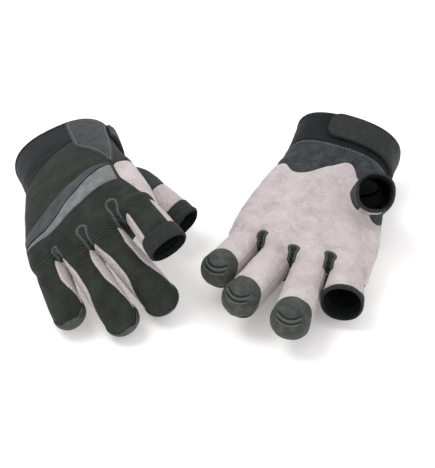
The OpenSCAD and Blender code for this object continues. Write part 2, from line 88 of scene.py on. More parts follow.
BAND_LOWER = ((50, 0.725), (72, 0.73), (84, 0.755), (96, 0.80), (108, 0.835), (126, 0.835), (158, 0.81))
BAND_FROM, BAND_TO = 52, 156
HEEL_EDGE = ((180, 0.36), (225, 0.39), (242, 0.46), (254, 0.46), (264, 0.41), (273, 0.34), (281, 0.30),
             (290, 0.31), (300, 0.45), (308, 0.60), (333, 0.61), (357, 0.54))
BACK_EDGE = ((0.2, 4), (0.53, 4), (0.585, 48), (0.72, 48), (0.83, 30), (0.92, 12), (0.98, 2))
ANCHOR_LOW = ((0, 19), (0.3, 23), (0.45, 35), (0.57, 46))
ANCHOR_HIGH = ((0, 79), (0.34, 77), (0.45, 61), (0.57, 50))
ANCHOR_END, PATCH_FROM = 0.57, 0.54
GUSSET_BACK = (0.91, 0.89, 0.83)
GUSSET_PALM = (0.88, 0.925, 0.905)
PALM_STITCH = ((205, 0.79), (231, 0.81), (246, 0.85), (258, 0.872), (276, 0.882), (298, 0.84), (318, 0.81),
               (358, 0.80))
THUMB_BAND = (12.0, 8.0)
CAP_SEAMS = (4.4, 7.4)
BINDING_LEN, BAND_LEN, CAP_LEN, CAP_WRAP = 3.0, 12.0, 20.0, 3.0
SUEDE_T, NEOPRENE_T = 1.4, 2.5
STRAP_FROM, STRAP_W, STRAP_T = 1.0, 23.0, 2.2
STRAP_ROOT, STRAP_END, STRAP_RISE = 16.0, -104.0, 1.3

# ---------------------------------------------------------------- the looks' own values, in millimetres
STRAP_HALF, STRAP_CORNER, STRAP_GROOVE = 11.4, 8.0, 2.2
STRAP_MIDDLE = STRAP_FROM + STRAP_W / 2
STRAP_ARC, HAND_ARC, FINGER_ARC = 0.64, 0.62, 0.21  # along the surface for each degree round the sleeve
WALL_EDGE = 24.0  # degrees from the middle of a finger's side wall to its edge
GUSSET_HALF, GUSSET_DARK = 4.6, 1.9
# the second and third values: how far the painted shade in a cap's embossed line reaches either side of it, and
# how far the painted highlight beside it reaches, in millimetres
BAND_SEAM, CAP_SHADE_HALF, CAP_HIGHLIGHT_TO = 0.5, 0.7, 1.3
EDGE_LEVELS, RIM_LEVELS = (0.35, 1.1), (0.2, 0.7, 1.4)  # extra cuts that give an edge its roundness
PROBE = 0.2  # the step for measuring a slope


def table(x, rows, column=1):
    rows = np.array(rows, float)
    return np.interp(x, rows[:, 0], rows[:, column])


def soft_table(x, rows, width):
    """The table with its corners rounded over a width either side."""
    steps = np.linspace(-1, 1, 9)
    weights = 1 - np.abs(steps) * 0.75
    return sum(w * table(x + d * width, rows) for d, w in zip(steps, weights)) / weights.sum()


def smooth(x, lo, hi):
    t = np.clip((x - lo) / (hi - lo), 0, 1)
    return t * t * (3 - 2 * t)


def smin(a, b, k):
    h = np.clip(0.5 + 0.5 * (b - a) / k, 0, 1)
    return b * (1 - h) + a * h - k * h * (1 - h)


def smax(a, b, k):
    return -smin(-a, -b, k)


def slope(func, P, step=PROBE):
    return np.stack([func(P + d) - func(P - d) for d in np.eye(3) * step], -1) / (2 * step)


class Tube:
    """A bent, tapering sleeve: s along it, angle 0 to the thumb side and 90 to the back."""

    def __init__(self, root, splay, pitch, curl, length, roll, twist, n, rows, tip=0.0):
        self.root, self.splay, self.pitch, self.curl = np.array(root, float), splay, pitch, curl
        self.length, self.roll, self.twist, self.n, self.tip = length, roll, twist, n, tip
        self.rows = np.array(rows, float)

    def section(self, s):
        return [np.interp(s, self.rows[:, 0], self.rows[:, k]) for k in range(1, 5)]

    def frame(self, s):
        p = np.radians(self.pitch + self.curl * s / self.length)
        p0, k = math.radians(self.pitch), math.radians(self.curl) / self.length
        return p, (np.sin(p) - math.sin(p0)) / k, (np.cos(p) - math.cos(p0)) / k

    def place(self, s, u, h):
        """The point u across and h above the middle line at s."""
        p, y, z = self.frame(s)
        tw = np.radians(self.twist * s / self.length)
        x, w = u * np.cos(tw) + h * np.sin(tw), h * np.cos(tw) - u * np.sin(tw)
        y, z = y + w * np.sin(p), z + w * np.cos(p)
        r, q = math.radians(self.roll), math.radians(-self.splay)
        x, z = x * math.cos(r) + z * math.sin(r), z * math.cos(r) - x * math.sin(r)
        x, y = x * math.cos(q) - y * math.sin(q), x * math.sin(q) + y * math.cos(q)
        return np.stack(np.broadcast_arrays(x, y, z), -1) + self.root

    def point(self, s, angle, off=0.0):
        a, over, under, shift = self.section(s)
        c, d = np.cos(np.radians(angle)), np.sin(np.radians(angle))
        half = np.where(d > 0, over, under)
        u = shift + (a + off) * np.sign(c) * np.abs(c) ** (2 / self.n)
        return self.place(s, u, (half + off) * np.sign(d) * np.abs(d) ** (2 / self.n))

    def local(self, P):
        d = P - self.root
        q, r = math.radians(self.splay), math.radians(self.roll)
        x = d[..., 0] * math.cos(q) - d[..., 1] * math.sin(q)
        y = d[..., 0] * math.sin(q) + d[..., 1] * math.cos(q)
        z = d[..., 2]
        x, z = x * math.cos(r) - z * math.sin(r), x * math.sin(r) + z * math.cos(r)
        k, p0 = math.radians(self.curl) / self.length, math.radians(self.pitch)
        y, z = y + math.sin(p0) / k, z + math.cos(p0) / k
        s = (np.arctan2(y, z) - p0) / k
        w = np.hypot(y, z) - 1 / k
        tw = np.radians(self.twist * s / self.length)
        return s, x * np.cos(tw) - w * np.sin(tw), x * np.sin(tw) + w * np.cos(tw)

    def shares(self, P):
        s, u, h = self.local(P)
        a, over, under, shift = self.section(s)
        b = np.where(h > 0, over, under)
        return s, (u - shift) / a, h / b, a, b

    def angle(self, P):
        s, x, y, a, b = self.shares(P)
        half = self.n / 2
        return s, np.degrees(np.arctan2(np.sign(y) * np.abs(y) ** half, np.sign(x) * np.abs(x) ** half)) % 360

    def distance(self, P):
        s, x, y, a, b = self.shares(P)
        x, y, n = np.abs(x) + 1e-6, np.abs(y) + 1e-6, self.n
        q = x ** n + y ** n
        r = q ** (1 / n)
        slope = np.sqrt((x ** (n - 1) / a) ** 2 + (y ** (n - 1) / b) ** 2) * q ** (1 / n - 1)
        if self.tip:
            z = np.maximum(0, (s - self.length + self.tip) / self.tip)
            rho = np.sqrt(r * r + z * z) + 1e-6
            slope = np.sqrt((r * slope) ** 2 + (z / self.tip) ** 2) / rho
        else:
            rho = r
        return (rho - 1) / np.maximum(slope, 1e-3)


class Glove:
    def __init__(self, side):
        self.side = side
        rows = [(c[0] * HAND_LEN[side],) + c[1:] for c in HAND_SECTIONS[side]]
        self.len = HAND_LEN[side]
        self.hand = Tube((0, 0, 0), 0, HAND_PITCH[side], HAND_CURL[side], self.len, 0,
                         HAND_TWIST[side], 2.5, rows)
        self.fingers = []
        for i, f in enumerate(FINGER_ROWS[side]):
            roll = HAND_TWIST[side] + (INDEX_ROLL[side] if i == INDEX else 0)
            mid = (f[6] / 2, f[7] + (f[8] - f[7]) * 0.6, f[9] + (f[10] - f[9]) * 0.6)
            self.fingers.append(Tube(
                self.end_point(f[0], -f[1], f[2]), f[3], f[4], f[5], f[6], roll, 0, 2.2,
                ((0, f[7], f[9], f[9], 0), (mid[0], mid[1], mid[2], mid[2], 0),
                 (f[6] - 10, f[8], f[10], f[10], 0)), 10.0 if f[11] else 0.0))
        t = THUMB_ROWS[side]
        self.thumb = Tube(t[:3], t[3], t[4], t[5], t[6], 0, 0, 2.2,
                          ((-18, 0.25 * t[7], 0.25 * t[9], 0.25 * t[9], 0),
                           (-8, 0.7 * t[7], 0.7 * t[9], 0.7 * t[9], 0),
                           (5, t[7], t[9], t[9], 0), (t[6], t[8], t[10], t[10], 0)))
        self.web = [(f[0], -f[1]) for f in FINGER_ROWS[side]]

    def sleeve(self, name):
        """The sleeve that a piece of this name lies on."""
        first = name.split("_")[0]
        if first in FINGERS:
            return self.fingers[FINGERS.index(first)]
        return self.thumb if first == "thumb" else self.hand

    def web_middle(self, i):
        """How far across the hand the web between fingers i and i + 1 is."""
        one, two = FINGER_ROWS[self.side][i:i + 2]
        return (one[0] + one[7] + two[0] - two[7]) / 2

    def end_point(self, u, along, h):
        p, y, z = self.hand.frame(self.len)
        tw = math.radians(self.hand.twist)
        x, w = u * math.cos(tw) + h * math.sin(tw), h * math.cos(tw) - u * math.sin(tw)
        return (x, y + along * math.cos(p) + w * math.sin(p), z - along * math.sin(p) + w * math.cos(p))

    def beyond(self, P):
        p, y, z = self.hand.frame(self.len)
        return ((P[..., 1] - y) * math.cos(p) - (P[..., 2] - z) * math.sin(p)
                - table(P[..., 0], self.web))

    def parts(self, P):
        """Distances to the hand, the four fingers and the thumb."""
        b = self.beyond(P)
        s = self.hand.local(P)[0]
        hand = smax(smax(self.hand.distance(P), b, 5.0), -(s + 5), 1.0)
        out = [hand]
        for t in self.fingers:
            reach = 12 if t.tip or self.side == LEFT else 3  # how far its root is buried in the hand
            d = smax(t.distance(P), -(t.local(P)[0] + reach), 4.0)
            if not t.tip:
                d = np.maximum(d, t.local(P)[0] - t.length - 4)
            out.append(d)
        d = np.maximum(self.thumb.distance(P), self.thumb.local(P)[0] - self.thumb.length - 4)
        out.append(np.maximum(d, -(self.thumb.local(P)[0] + 17)))
        return out, b

    def field(self, P):
        d, b = self.parts(P)
        k = 6.0 * (1 - smooth(b, 1.0, 9.0)) + 0.05
        total = d[0]
        for one in d[1:5]:
            total = np.minimum(total, smin(d[0], one, k))
        kt = 6.0 * (1 - smooth(self.thumb.local(P)[0], 14, 30)) + 0.3
        return smin(total, d[5], kt)

    def normal(self, P):
        g = slope(self.field, P, 0.25)
        return g / np.maximum(np.linalg.norm(g, axis=-1, keepdims=True), 1e-9)

    def world(self, P):
        r, q = math.radians(TILT[self.side]), math.radians(TURN[self.side])
        x = P[..., 0] * math.cos(r) + P[..., 2] * math.sin(r)
        z = P[..., 2] * math.cos(r) - P[..., 0] * math.sin(r)
        y = -P[..., 1]
        z = -z if self.side == LEFT else z
        out = np.stack([x * math.cos(q) - y * math.sin(q), x * math.sin(q) + y * math.cos(q), z], -1)
        return (out + np.array(WRIST_AT[self.side], float)) / 1000


# ---------------------------------------------------------------- noise
def lattice_noise(P, scale, seed):
    """Smooth noise from -1 to 1 on a lattice of the given pitch in millimetres."""
    q = np.asarray(P, float) / scale + 100.37
    i = np.floor(q).astype(int)
    f = q - i
    f = f * f * (3 - 2 * f)
    values = np.random.default_rng(seed).uniform(-1, 1, (31, 31, 31))
    out = 0
    for dx in (0, 1):
        for dy in (0, 1):
            for dz in (0, 1):
                w = ((f[..., 0] if dx else 1 - f[..., 0]) * (f[..., 1] if dy else 1 - f[..., 1])
                     * (f[..., 2] if dz else 1 - f[..., 2]))
                out = out + w * values[(i[..., 0] + dx) % 31, (i[..., 1] + dy) % 31, (i[..., 2] + dz) % 31]
    return out


# ---------------------------------------------------------------- the skin and its cuts
class Skin:
    """A triangle mesh with one label a face, which can be cut along lines."""

    def __init__(self, V, F, N):
        self.V, self.F, self.N = V, F, N
        self.lab = np.zeros(len(F), int)
        self.locked = np.zeros(len(V), bool)
        self.names = []

    def id(self, name):
        if name not in self.names:
            self.names.append(name)
        return self.names.index(name)

    def where(self, *names):
        return np.isin(self.lab, [self.id(n) for n in names])

    def mm(self, func, idx):
        """func's value as a distance along the surface, with its slope."""
        P = self.V[idx]
        f, g = func(P), slope(func, P)
        g = g - self.N[idx] * np.sum(g * self.N[idx], -1, keepdims=True)
        size = np.linalg.norm(g, axis=-1)
        return f / np.maximum(size, 1e-4), g, size

    def cut(self, func, faces=None):
        """Cuts the given faces along func = 0. Returns the faces where func is positive."""
        faces = np.ones(len(self.F), bool) if faces is None else faces
        n = len(self.V)
        idx = np.unique(self.F[faces])
        mm, g, size = self.mm(func, idx)
        free = (np.abs(mm) < 0.3) & ~self.locked[idx] & (size > 1e-3)
        move = idx[free]
        self.V[move] -= (mm[free] / size[free])[:, None] * g[free]
        mm[free] = 0
        mm[np.abs(mm) < 0.04] = 0
        val = np.ones(n)
        val[idx] = mm
        E = np.sort(np.stack([self.F, np.roll(self.F, -1, 1)], -1), axis=2)
        key = E[..., 0] * n + E[..., 1]
        cross = faces[:, None] & (val[E[..., 0]] * val[E[..., 1]] < 0)
        keys = np.unique(key[cross])
        if len(keys):
            a, b = keys // n, keys % n
            t = (val[a] / (val[a] - val[b]))[:, None]
            self.V = np.concatenate([self.V, self.V[a] * (1 - t) + self.V[b] * t])
            N = self.N[a] * (1 - t) + self.N[b] * t
            self.N = np.concatenate([self.N, N / np.linalg.norm(N, axis=1, keepdims=True)])
            val = np.concatenate([val, np.zeros(len(keys))])
            at = np.clip(np.searchsorted(keys, key), 0, len(keys) - 1)
            mid = np.where(keys[at] == key, n + at, -1)
            hits = (mid >= 0).sum(1)
            F, row = [self.F[hits == 0]], [np.flatnonzero(hits == 0)]

            def add(index, *triangles):
                for tri in triangles:
                    F.append(np.stack(tri, 1))
                    row.append(index)

            def pick(index, k):
                r = np.arange(len(index))
                return [[rows[index][r, (k + j) % 3] for j in range(3)] for rows in (self.F, mid)]

            i = np.flatnonzero(hits == 1)
            if len(i):
                v, m = pick(i, np.argmax(mid[i] >= 0, 1))
                add(i, (v[0], m[0], v[2]), (m[0], v[1], v[2]))
            i = np.flatnonzero(hits == 2)
            if len(i):
                v, m = pick(i, np.argmin(mid[i] >= 0, 1))
                add(i, (m[1], v[2], m[2]), (v[0], v[1], m[1]), (v[0], m[1], m[2]))
            i = np.flatnonzero(hits == 3)
            if len(i):
                v, m = pick(i, np.zeros(len(i), int))
                add(i, (v[0], m[0], m[2]), (m[0], v[1], m[1]), (m[1], v[2], m[2]), (m[0], m[1], m[2]))
            row = np.concatenate(row)
            self.F, self.lab = np.concatenate(F), self.lab[row]
            faces = faces[row]
        self.locked = np.concatenate([self.locked, np.ones(len(self.V) - n, bool)])
        on_line = np.zeros(len(self.V), bool)
        on_line[self.F[faces]] = True
        self.locked |= on_line & (val == 0)
        return faces & (val[self.F].mean(1) > 0)

    def divide(self, func, name, *within):
        """Faces of the labels within where func is positive take the new name."""
        positive = self.cut(func, self.where(*within))
        self.lab[positive] = self.id(name)

    def levels(self, func, steps, *within):
        for step in steps:
            self.cut(lambda P: func(P) - step, self.where(*within))

    def drop(self, faces):
        self.F, self.lab = self.F[~faces], self.lab[~faces]

    def normals(self, V):
        """Smooth normals of the whole skin at the given places of its points."""
        a, b, c = (V[self.F[:, k]] for k in range(3))
        face = np.cross(b - a, c - a)
        N = np.zeros_like(V)
        for k in range(3):
            np.add.at(N, self.F[:, k], face)
        size = np.linalg.norm(N, axis=1, keepdims=True)
        return np.where(size > 1e-12, N / np.maximum(size, 1e-12), self.N)


def mesh_field(glove, cell):
    """The glove's skin as triangles on the field's zero level."""
    round_ = np.arange(0, 360, 15)[None]
    pts = [glove.hand.point(np.linspace(-6, glove.len, 20)[:, None], round_).reshape(-1, 3)]
    for t in glove.fingers + [glove.thumb]:
        pts.append(t.point(np.linspace(0, t.length + 5, 12)[:, None], round_).reshape(-1, 3))
    pts = np.concatenate(pts)
    lo, hi = pts.min(0) - 5, pts.max(0) + 5
    n = ((hi - lo) / cell).astype(int) + 1
    grid = np.stack(np.meshgrid(*[lo[k] + cell * np.arange(n[k]) for k in range(3)], indexing="ij"), -1)
    values = np.clip(glove.field(grid), -4, 4).astype(np.float32)
    volume = vdb.FloatGrid(4.0)
    volume.copyFromArray(values)
    points, tris, quads = volume.convertToPolygons(isovalue=0.0, adaptivity=0.0)
    V = points.astype(float) * cell + lo
    for _ in range(2):
        d = glove.field(V)
        V = V - glove.normal(V) * np.clip(d, -0.6, 0.6)[:, None]
    quads = quads.astype(int)
    first = np.linalg.norm(V[quads[:, 0]] - V[quads[:, 2]], axis=1)
    other = np.linalg.norm(V[quads[:, 1]] - V[quads[:, 3]], axis=1)
    q = np.where((first < other)[:, None], quads, np.roll(quads, -1, axis=1))
    F = np.concatenate([q[:, [0, 1, 2]], q[:, [0, 2, 3]], tris.astype(int).reshape(-1, 3)])
    N = glove.normal(V)
    a, b, c = (V[F[:, k]] for k in range(3))
    if np.sum(np.cross(b - a, c - a) * N[F[:, 0]]) < 0:
        F = F[:, ::-1].copy()
    return V, F, N


def cap_line(tube, angle):
    """Where a fingertip cap starts, round the finger."""
    share = soft_table(angle, ((-20, 0.75), (0, 0.55), (20, 0.3), (40, 0), (140, 0), (160, 0.3), (180, 0.55),
                               (210, 0.85), (270, 1), (330, 0.85), (360, 0.55), (380, 0.3)), 12)
    return tube.length - (CAP_WRAP + (CAP_LEN - CAP_WRAP) * share)


def cap_seam(tube, P, drop):
    """How far P lies above an embossed line, which is drop mm towards the palm from the finger's middle."""
    u, h = tube.local(P)[1:3]
    return h + drop + 4.0 * (u / 12) ** 2


def beside_cap_seam(tube, P, low, high):
    """Whether P lies from low to high mm beyond an embossed line, on the palm side."""
    s, u = tube.local(P)[:2]
    lines = [(cap_seam(tube, P, drop) > low) & (cap_seam(tube, P, drop) < high) for drop in CAP_SEAMS]
    return (s > tube.length - 7) & (np.abs(u) < 7.5) & np.any(lines, 0)


def rim_line(tube, angle, palm, back):
    """Where an open finger's end band starts: short on the palm, long on the back."""
    share = table(angle, ((0, 0.8), (20, 1), (160, 1), (180, 0.8), (200, 0.35), (220, 0), (320, 0),
                          (340, 0.35), (360, 0.8)))
    return tube.length - (palm + (back - palm) * share)


def wall_top(side, finger, tube, s):
    """The top edge of a finger's side walls, in degrees."""
    if side == LEFT:
        return WALL_EDGE + 0 * s
    if finger == "index":
        return soft_table(s / tube.length, ((-0.2, 36), (0, 38), (0.15, 44), (1, 44)), 0.08)
    return soft_table(s / tube.length, ((-0.2, 34), (0, 40), (0.12, 56), (0.4, 56), (0.7, 8), (1, 8)), 0.08)


def band_line(glove, P):
    """The line that divides the knuckle band's two tones."""
    s, a = glove.hand.angle(P)
    up, low = soft_table(a, BAND_UPPER, 8), soft_table(a, BAND_LOWER, 8)
    share = soft_table(a, ((48, 0.06), (56, 0.12), (72, 0.3), (87, 0.42), (100, 0.62), (114, 0.72),
                           (158, 0.85)), 8)
    return s - glove.len * (up + (low - up) * share)


def edge_round(c, r=1.2):
    return np.sqrt(np.clip(1 - (1 - np.clip(c / r, 0, 1)) ** 2, 0, 1))


def make_skin(glove):
    side, L, H = glove.side, glove.len, glove.hand
    V, F, N = mesh_field(glove, CELL)
    skin = Skin(V, F, N)
    skin.id("hand")
    # the fingers and the thumb
    front = skin.cut(lambda P: glove.beyond(P) - 2.5)
    skin.lab[front] = skin.id("fingers")
    for i in range(3):
        a, b = glove.fingers[i:i + 2]
        skin.cut(lambda P: a.distance(P) - b.distance(P), skin.where("fingers"))
    at = skin.where("fingers")
    middle = skin.V[skin.F[at]].mean(1)
    closest = np.argmin([t.distance(middle) for t in glove.fingers], 0)
    for i, name in enumerate(FINGERS):
        rows = np.flatnonzero(at)[closest == i]
        skin.lab[rows] = skin.id(name)
    skin.divide(lambda P: glove.parts(P)[0][0] - glove.thumb.distance(P), "thumb", "hand")
    # the open ends
    skin.divide(lambda P: -H.local(P)[0], "off", "hand")
    index, thumb = glove.fingers[INDEX], glove.thumb
    skin.divide(lambda P: index.local(P)[0] - index.length, "off", "index")
    skin.divide(lambda P: thumb.local(P)[0] - thumb.length, "off", "thumb")
    skin.drop(skin.where("off"))
    # the hand's panels
    arc = HAND_ARC

    def s_of(P):
        return H.local(P)[0]

    def signed(a):
        return (a + 180) % 360 - 180

    def by(rows):
        def f(P):
            s, a = H.angle(P)
            return s - L * soft_table(a, rows, 8)
        return f

    skin.lab[skin.where("hand")] = skin.id("palm_panel")
    skin.divide(lambda P: H.local(P)[2], "back_panel", "palm_panel")
    skin.divide(lambda P: -by(CUFF_EDGE)(P), "cuff", "palm_panel", "back_panel")
    skin.divide(lambda P: -by(HEEL_EDGE)(P), "heel_panel", "palm_panel")

    def patch(P):
        s, a = H.angle(P)
        return np.minimum(arc * (soft_table(s / L, BACK_EDGE, 0.03) - signed(a)), s - PATCH_FROM * L)
    skin.divide(patch, "thumb_side_patch", "back_panel")
    skin.divide(lambda P: BINDING_LEN - H.local(P)[0], "cuff_binding", "cuff")
    skin.levels(s_of, RIM_LEVELS, "cuff_binding")
    skin.levels(lambda P: BINDING_LEN - s_of(P), (0.2, 0.7), "cuff_binding")

    def band(P):
        s, a = H.angle(P)
        return np.minimum(np.minimum(s - L * soft_table(a, BAND_UPPER, 8), L * soft_table(a, BAND_LOWER, 8) - s),
                          np.minimum(arc * (a - BAND_FROM), arc * (BAND_TO - a)))

    def anchor(P):
        s, a = H.angle(P)
        a = signed(a)
        return np.minimum(np.minimum(arc * (a - soft_table(s / L, ANCHOR_LOW, 0.03)),
                                     arc * (soft_table(s / L, ANCHOR_HIGH, 0.02) - a)),
                          np.minimum(s - BINDING_LEN - 0.5, ANCHOR_END * L - s))

    def gusset(P):
        s, u, h = H.local(P)
        out = np.full(s.shape, -9.0)
        rows = FINGER_ROWS[side]
        for i in range(3):
            mid = glove.web_middle(i)
            web = L + np.interp(mid, [r[0] for r in rows], [-r[1] for r in rows])
            start = np.where(h > 0, GUSSET_BACK[i], GUSSET_PALM[i]) * L
            f = np.clip((s - start) / (web - start), 0, 1)
            w = GUSSET_HALF - 1.6 * smooth(f, 0.45, 1)
            near = np.hypot(u - mid, np.minimum(0, s - start - GUSSET_HALF))
            out = np.maximum(out, w - near)
        return out

    skin.overlays = {"knuckle_band": (band, 0.9, ("back_panel",)),
                     "strap_anchor": (anchor, 0.9, ("back_panel", "cuff")),
                     "web_gussets": (gusset, 0.8, ("back_panel", "palm_panel", "thumb_side_patch"))}
    skin.over = {}
    for name, (func, _, within) in skin.overlays.items():
        skin.cut(func, skin.where(*within))
        skin.levels(func, EDGE_LEVELS, *within)
    skin.levels(gusset, (GUSSET_DARK,), *skin.overlays["web_gussets"][2])
    for step in (-BAND_SEAM, BAND_SEAM):
        on_band = skin.where("back_panel") & (band(skin.V[skin.F].mean(1)) > 0)
        skin.cut(lambda P: band_line(glove, P) - step, on_band)
    skin.lines = {"patch": patch, "heel": by(HEEL_EDGE), "palm": by(PALM_STITCH), "cuff": by(CUFF_EDGE),
                  "rim": s_of}
    # the fingers' panels
    for i, name in enumerate(FINGERS):
        t = glove.fingers[i]
        skin.lab[skin.where(name)] = skin.id(name + "_sidewalls")

        def wedge(P, sign, t=t, name=name):
            s, x, y, a, b = t.shares(P)
            top = wall_top(side, name, t, s) if sign > 0 else WALL_EDGE
            lean = np.tan(np.radians(np.where((x > 0) | (name != "little"), top, WALL_EDGE)))
            x, y = np.abs(x) ** (t.n / 2), sign * np.sign(y) * np.abs(y) ** (t.n / 2)
            return (y - lean * x) * 11
        skin.divide(lambda P: wedge(P, 1), name + "_back", name + "_sidewalls")
        skin.divide(lambda P: wedge(P, -1), name + "_front", name + "_sidewalls")
        skin.lines[name] = lambda P, wedge=wedge: wedge(P, 1)
        skin.lines[name + "_palm"] = lambda P, wedge=wedge: wedge(P, -1)
        walls = (name + "_back", name + "_front", name + "_sidewalls")
        if name == "little":  # its outer wall is one piece with its back
            outer = skin.where("little_sidewalls") & (t.shares(skin.V[skin.F].mean(1))[1] < 0)
            skin.lab[outer] = skin.id("little_back")

        def end(P):
            s, a = t.angle(P)
            return s - (cap_line(t, a) if t.tip else rim_line(t, a, 4.0, BAND_LEN))
        last = name + ("_tip_cap" if t.tip else "_binding")
        skin.divide(end, last, *walls)
        skin.levels(end, EDGE_LEVELS, last)
        if t.tip:
            # cut where the painted shade in each embossed line and the painted highlight beside it end
            for drop in CAP_SEAMS:
                skin.levels(lambda P: cap_seam(t, P, drop),
                            (-CAP_HIGHLIGHT_TO, -CAP_SHADE_HALF, 0, CAP_SHADE_HALF, CAP_HIGHLIGHT_TO), last)
        else:
            skin.levels(lambda P: t.length - t.local(P)[0], RIM_LEVELS, last)
        skin.overlays[last] = (end, 0.5, ())
    # the thumb's panels
    t = thumb
    skin.lab[skin.where("thumb")] = skin.id("thumb_front")

    def thumb_back(P):
        s, x, y, a, b = t.shares(P)
        lean = np.tan(np.radians(np.where(x > 0, (1, 55)[side], (18, 54)[side])))
        y = np.sign(y) * np.abs(y) ** (t.n / 2) - lean * np.abs(x) ** (t.n / 2)
        return np.minimum(y * 11, s - 0.42 * t.length)

    def thumb_end(P):
        return t.local(P)[0] - t.length + THUMB_BAND[side]
    skin.divide(thumb_end, "thumb_binding", "thumb_front")
    skin.divide(thumb_back, "thumb_back", "thumb_front")
    skin.levels(thumb_end, EDGE_LEVELS, "thumb_binding")
    skin.levels(lambda P: t.length - t.local(P)[0], RIM_LEVELS, "thumb_binding")
    skin.overlays["thumb_binding"] = (thumb_end, 0.5, ())
    middle = skin.V[skin.F].mean(1)
    for name in ("knuckle_band", "strap_anchor", "web_gussets"):
        func, lift, within = skin.overlays[name]
        skin.over[name] = skin.where(*within) & (func(middle) > 0)
    return skin


# ---------------------------------------------------------------- stuffing, creases and seams
FUSED = {frozenset(("back_panel", f + "_back")) for f in FINGERS} | {
    frozenset(("palm_panel", f + "_front")) for f in FINGERS} | {
    frozenset(("thumb_front", "heel_panel")), frozenset(("cuff", "cuff_binding"))}


def seam_points(skin):
    """Points along every sewn seam."""
    E = np.sort(np.stack([skin.F, np.roll(skin.F, -1, 1)], -1), axis=2).reshape(-1, 2)
    lab = np.repeat(skin.lab, 3)
    order = np.lexsort((E[:, 1], E[:, 0]))
    E, lab = E[order], lab[order]
    same = (E[1:] == E[:-1]).all(1)
    a, b = lab[:-1][same], lab[1:][same]
    edges = E[:-1][same]
    fused = np.zeros(len(a), bool)
    for pair in FUSED:
        i, j = (skin.id(n) for n in pair)
        fused |= ((a == i) & (b == j)) | ((a == j) & (b == i))
    edges = edges[(a != b) & ~fused]
    P, Q = skin.V[edges[:, 0]], skin.V[edges[:, 1]]
    out = np.concatenate([P, (P + Q) / 2, P * 0.75 + Q * 0.25, P * 0.25 + Q * 0.75])
    for name in skin.over:
        out = out[skin.overlays[name][0](out) < 0.2]
    return out


def nearest(points, queries):
    tree = KDTree(len(points))
    for i, p in enumerate(points.tolist()):
        tree.insert(p, i)
    tree.balance()
    return np.array([tree.find(q)[2] for q in queries.tolist()])


def shape(glove, skin):
    """Moves the skin's points into the stuffed, creased and sewn shape."""
    P, side, L = skin.V, glove.side, glove.len
    seam = nearest(seam_points(skin), P)
    s, u, h = glove.hand.local(P)
    b = glove.beyond(P)
    hand = 1 - smooth(b, -4, 10)
    cuff = 1 - smooth(s, 0.15 * L, 0.3 * L)
    palm = smooth(-h, -2, 6)
    free = 1 - np.exp(-(seam / 3.0) ** 2)
    soft = 0.55 * hand * (1 - 0.7 * cuff) + 0.28 * (1 - hand)
    soft = soft * (1 + 0.5 * palm)
    move = (lattice_noise(P, 17, 3 + side) * 0.9 + lattice_noise(P, 8.5, 5 + side) * 0.4) * soft
    # creases run across the fingers and the palm
    squeezed = np.stack([u / 2.6, s * 1.0, h / 2.6], -1)
    ridge = 1 - np.abs(lattice_noise(squeezed, 7.5, 11 + side)) * 2.2
    move -= np.clip(ridge, 0, 1) ** 3 * 0.45 * soft * (0.6 + 0.8 * palm)
    move += 0.45 * (1 - np.exp(-seam / 4.0)) * (1 - cuff)
    move = move * free
    move -= 0.5 * np.exp(-(seam / 0.85) ** 2)
    # valleys between the knuckles run back into the hand
    for i in range(3):
        mid = glove.web_middle(i)
        move -= 1.5 * np.exp(-((u - mid) / 4.5) ** 2) * smooth(s, 0.72 * L, 0.97 * L) * (1 - smooth(b, -1, 5))
    return P + skin.N * move[:, None]


class Maker:
    """Builds the visual pieces of one glove."""

    def __init__(self, glove, skin):
        self.glove, self.skin = glove, skin
        self.V = shape(glove, skin)
        self.N = skin.normals(self.V)
        self.side = SIDES[glove.side]

    def uv(self, P, name):
        """Weave coordinates in centimetres: along the sleeve and round it."""
        g, tube = self.glove, self.glove.sleeve(name)
        s, a = tube.angle(P)
        if tube is g.hand:
            return np.stack([s, ((a + 40) % 360) * HAND_ARC], -1) / 10
        return np.stack([s + (0 if tube is g.thumb else g.len), ((a + 90) % 360) * FINGER_ARC], -1) / 10

    def add(self, name, V, F, materials, kinds, uv, rest):
        if self.glove.side == RIGHT:  # world() mirrors the left-hand glove only, and its y runs backwards
            F = F[:, ::-1]
        return add_mesh(f"{self.side}_{name}", self.glove.world(V), F, materials, kinds, uv, rest)

    def carry(self, obj, body, start=None, end=None):
        if start is None:
            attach(obj, f"{self.side}_{body}")
        else:
            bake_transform(obj)

    def shell(self, name, faces, lift, depth, materials):
        """A panel with thickness, cut out of the skin. lift and depth may vary over its points."""
        F = self.skin.F[faces]
        used, F = np.unique(F, return_inverse=True)
        F = F.reshape(-1, 3)
        P0, V, N = self.skin.V[used], self.V[used], self.N[used]
        up = np.zeros(len(used)) if lift is None else lift(P0)
        down = depth(P0) if callable(depth) else np.full(len(used), depth)
        n = len(used)
        outer, inner = V + N * up[:, None], V + N * (up - down)[:, None]
        edge = np.stack([F, np.roll(F, -1, 1)], -1).reshape(-1, 2)
        forward = edge[:, 0] * n + edge[:, 1]
        border = edge[~np.isin(forward, edge[:, 1] * n + edge[:, 0])]
        a, b = border[:, 0], border[:, 1]
        rim = np.concatenate([np.stack([b, a, a + n], 1), np.stack([b, a + n, b + n], 1)])
        faces_all = np.concatenate([F, F[:, ::-1] + n, rim])
        kinds = np.concatenate([np.zeros(len(F), int), np.ones(len(F) + len(rim), int)])
        uv = self.uv(P0, name)
        obj = self.add(name, np.concatenate([outer, inner]), faces_all, materials, kinds,
                       np.concatenate([uv, uv]), np.concatenate([P0, P0]))
        if lift is None:  # neighbouring panels of one cloth shade as one surface
            N = (self.glove.world(V + N) - self.glove.world(V)) * 1000
            obj.data.normals_split_custom_set_from_vertices(np.concatenate([N, -N]).tolist())
        return obj


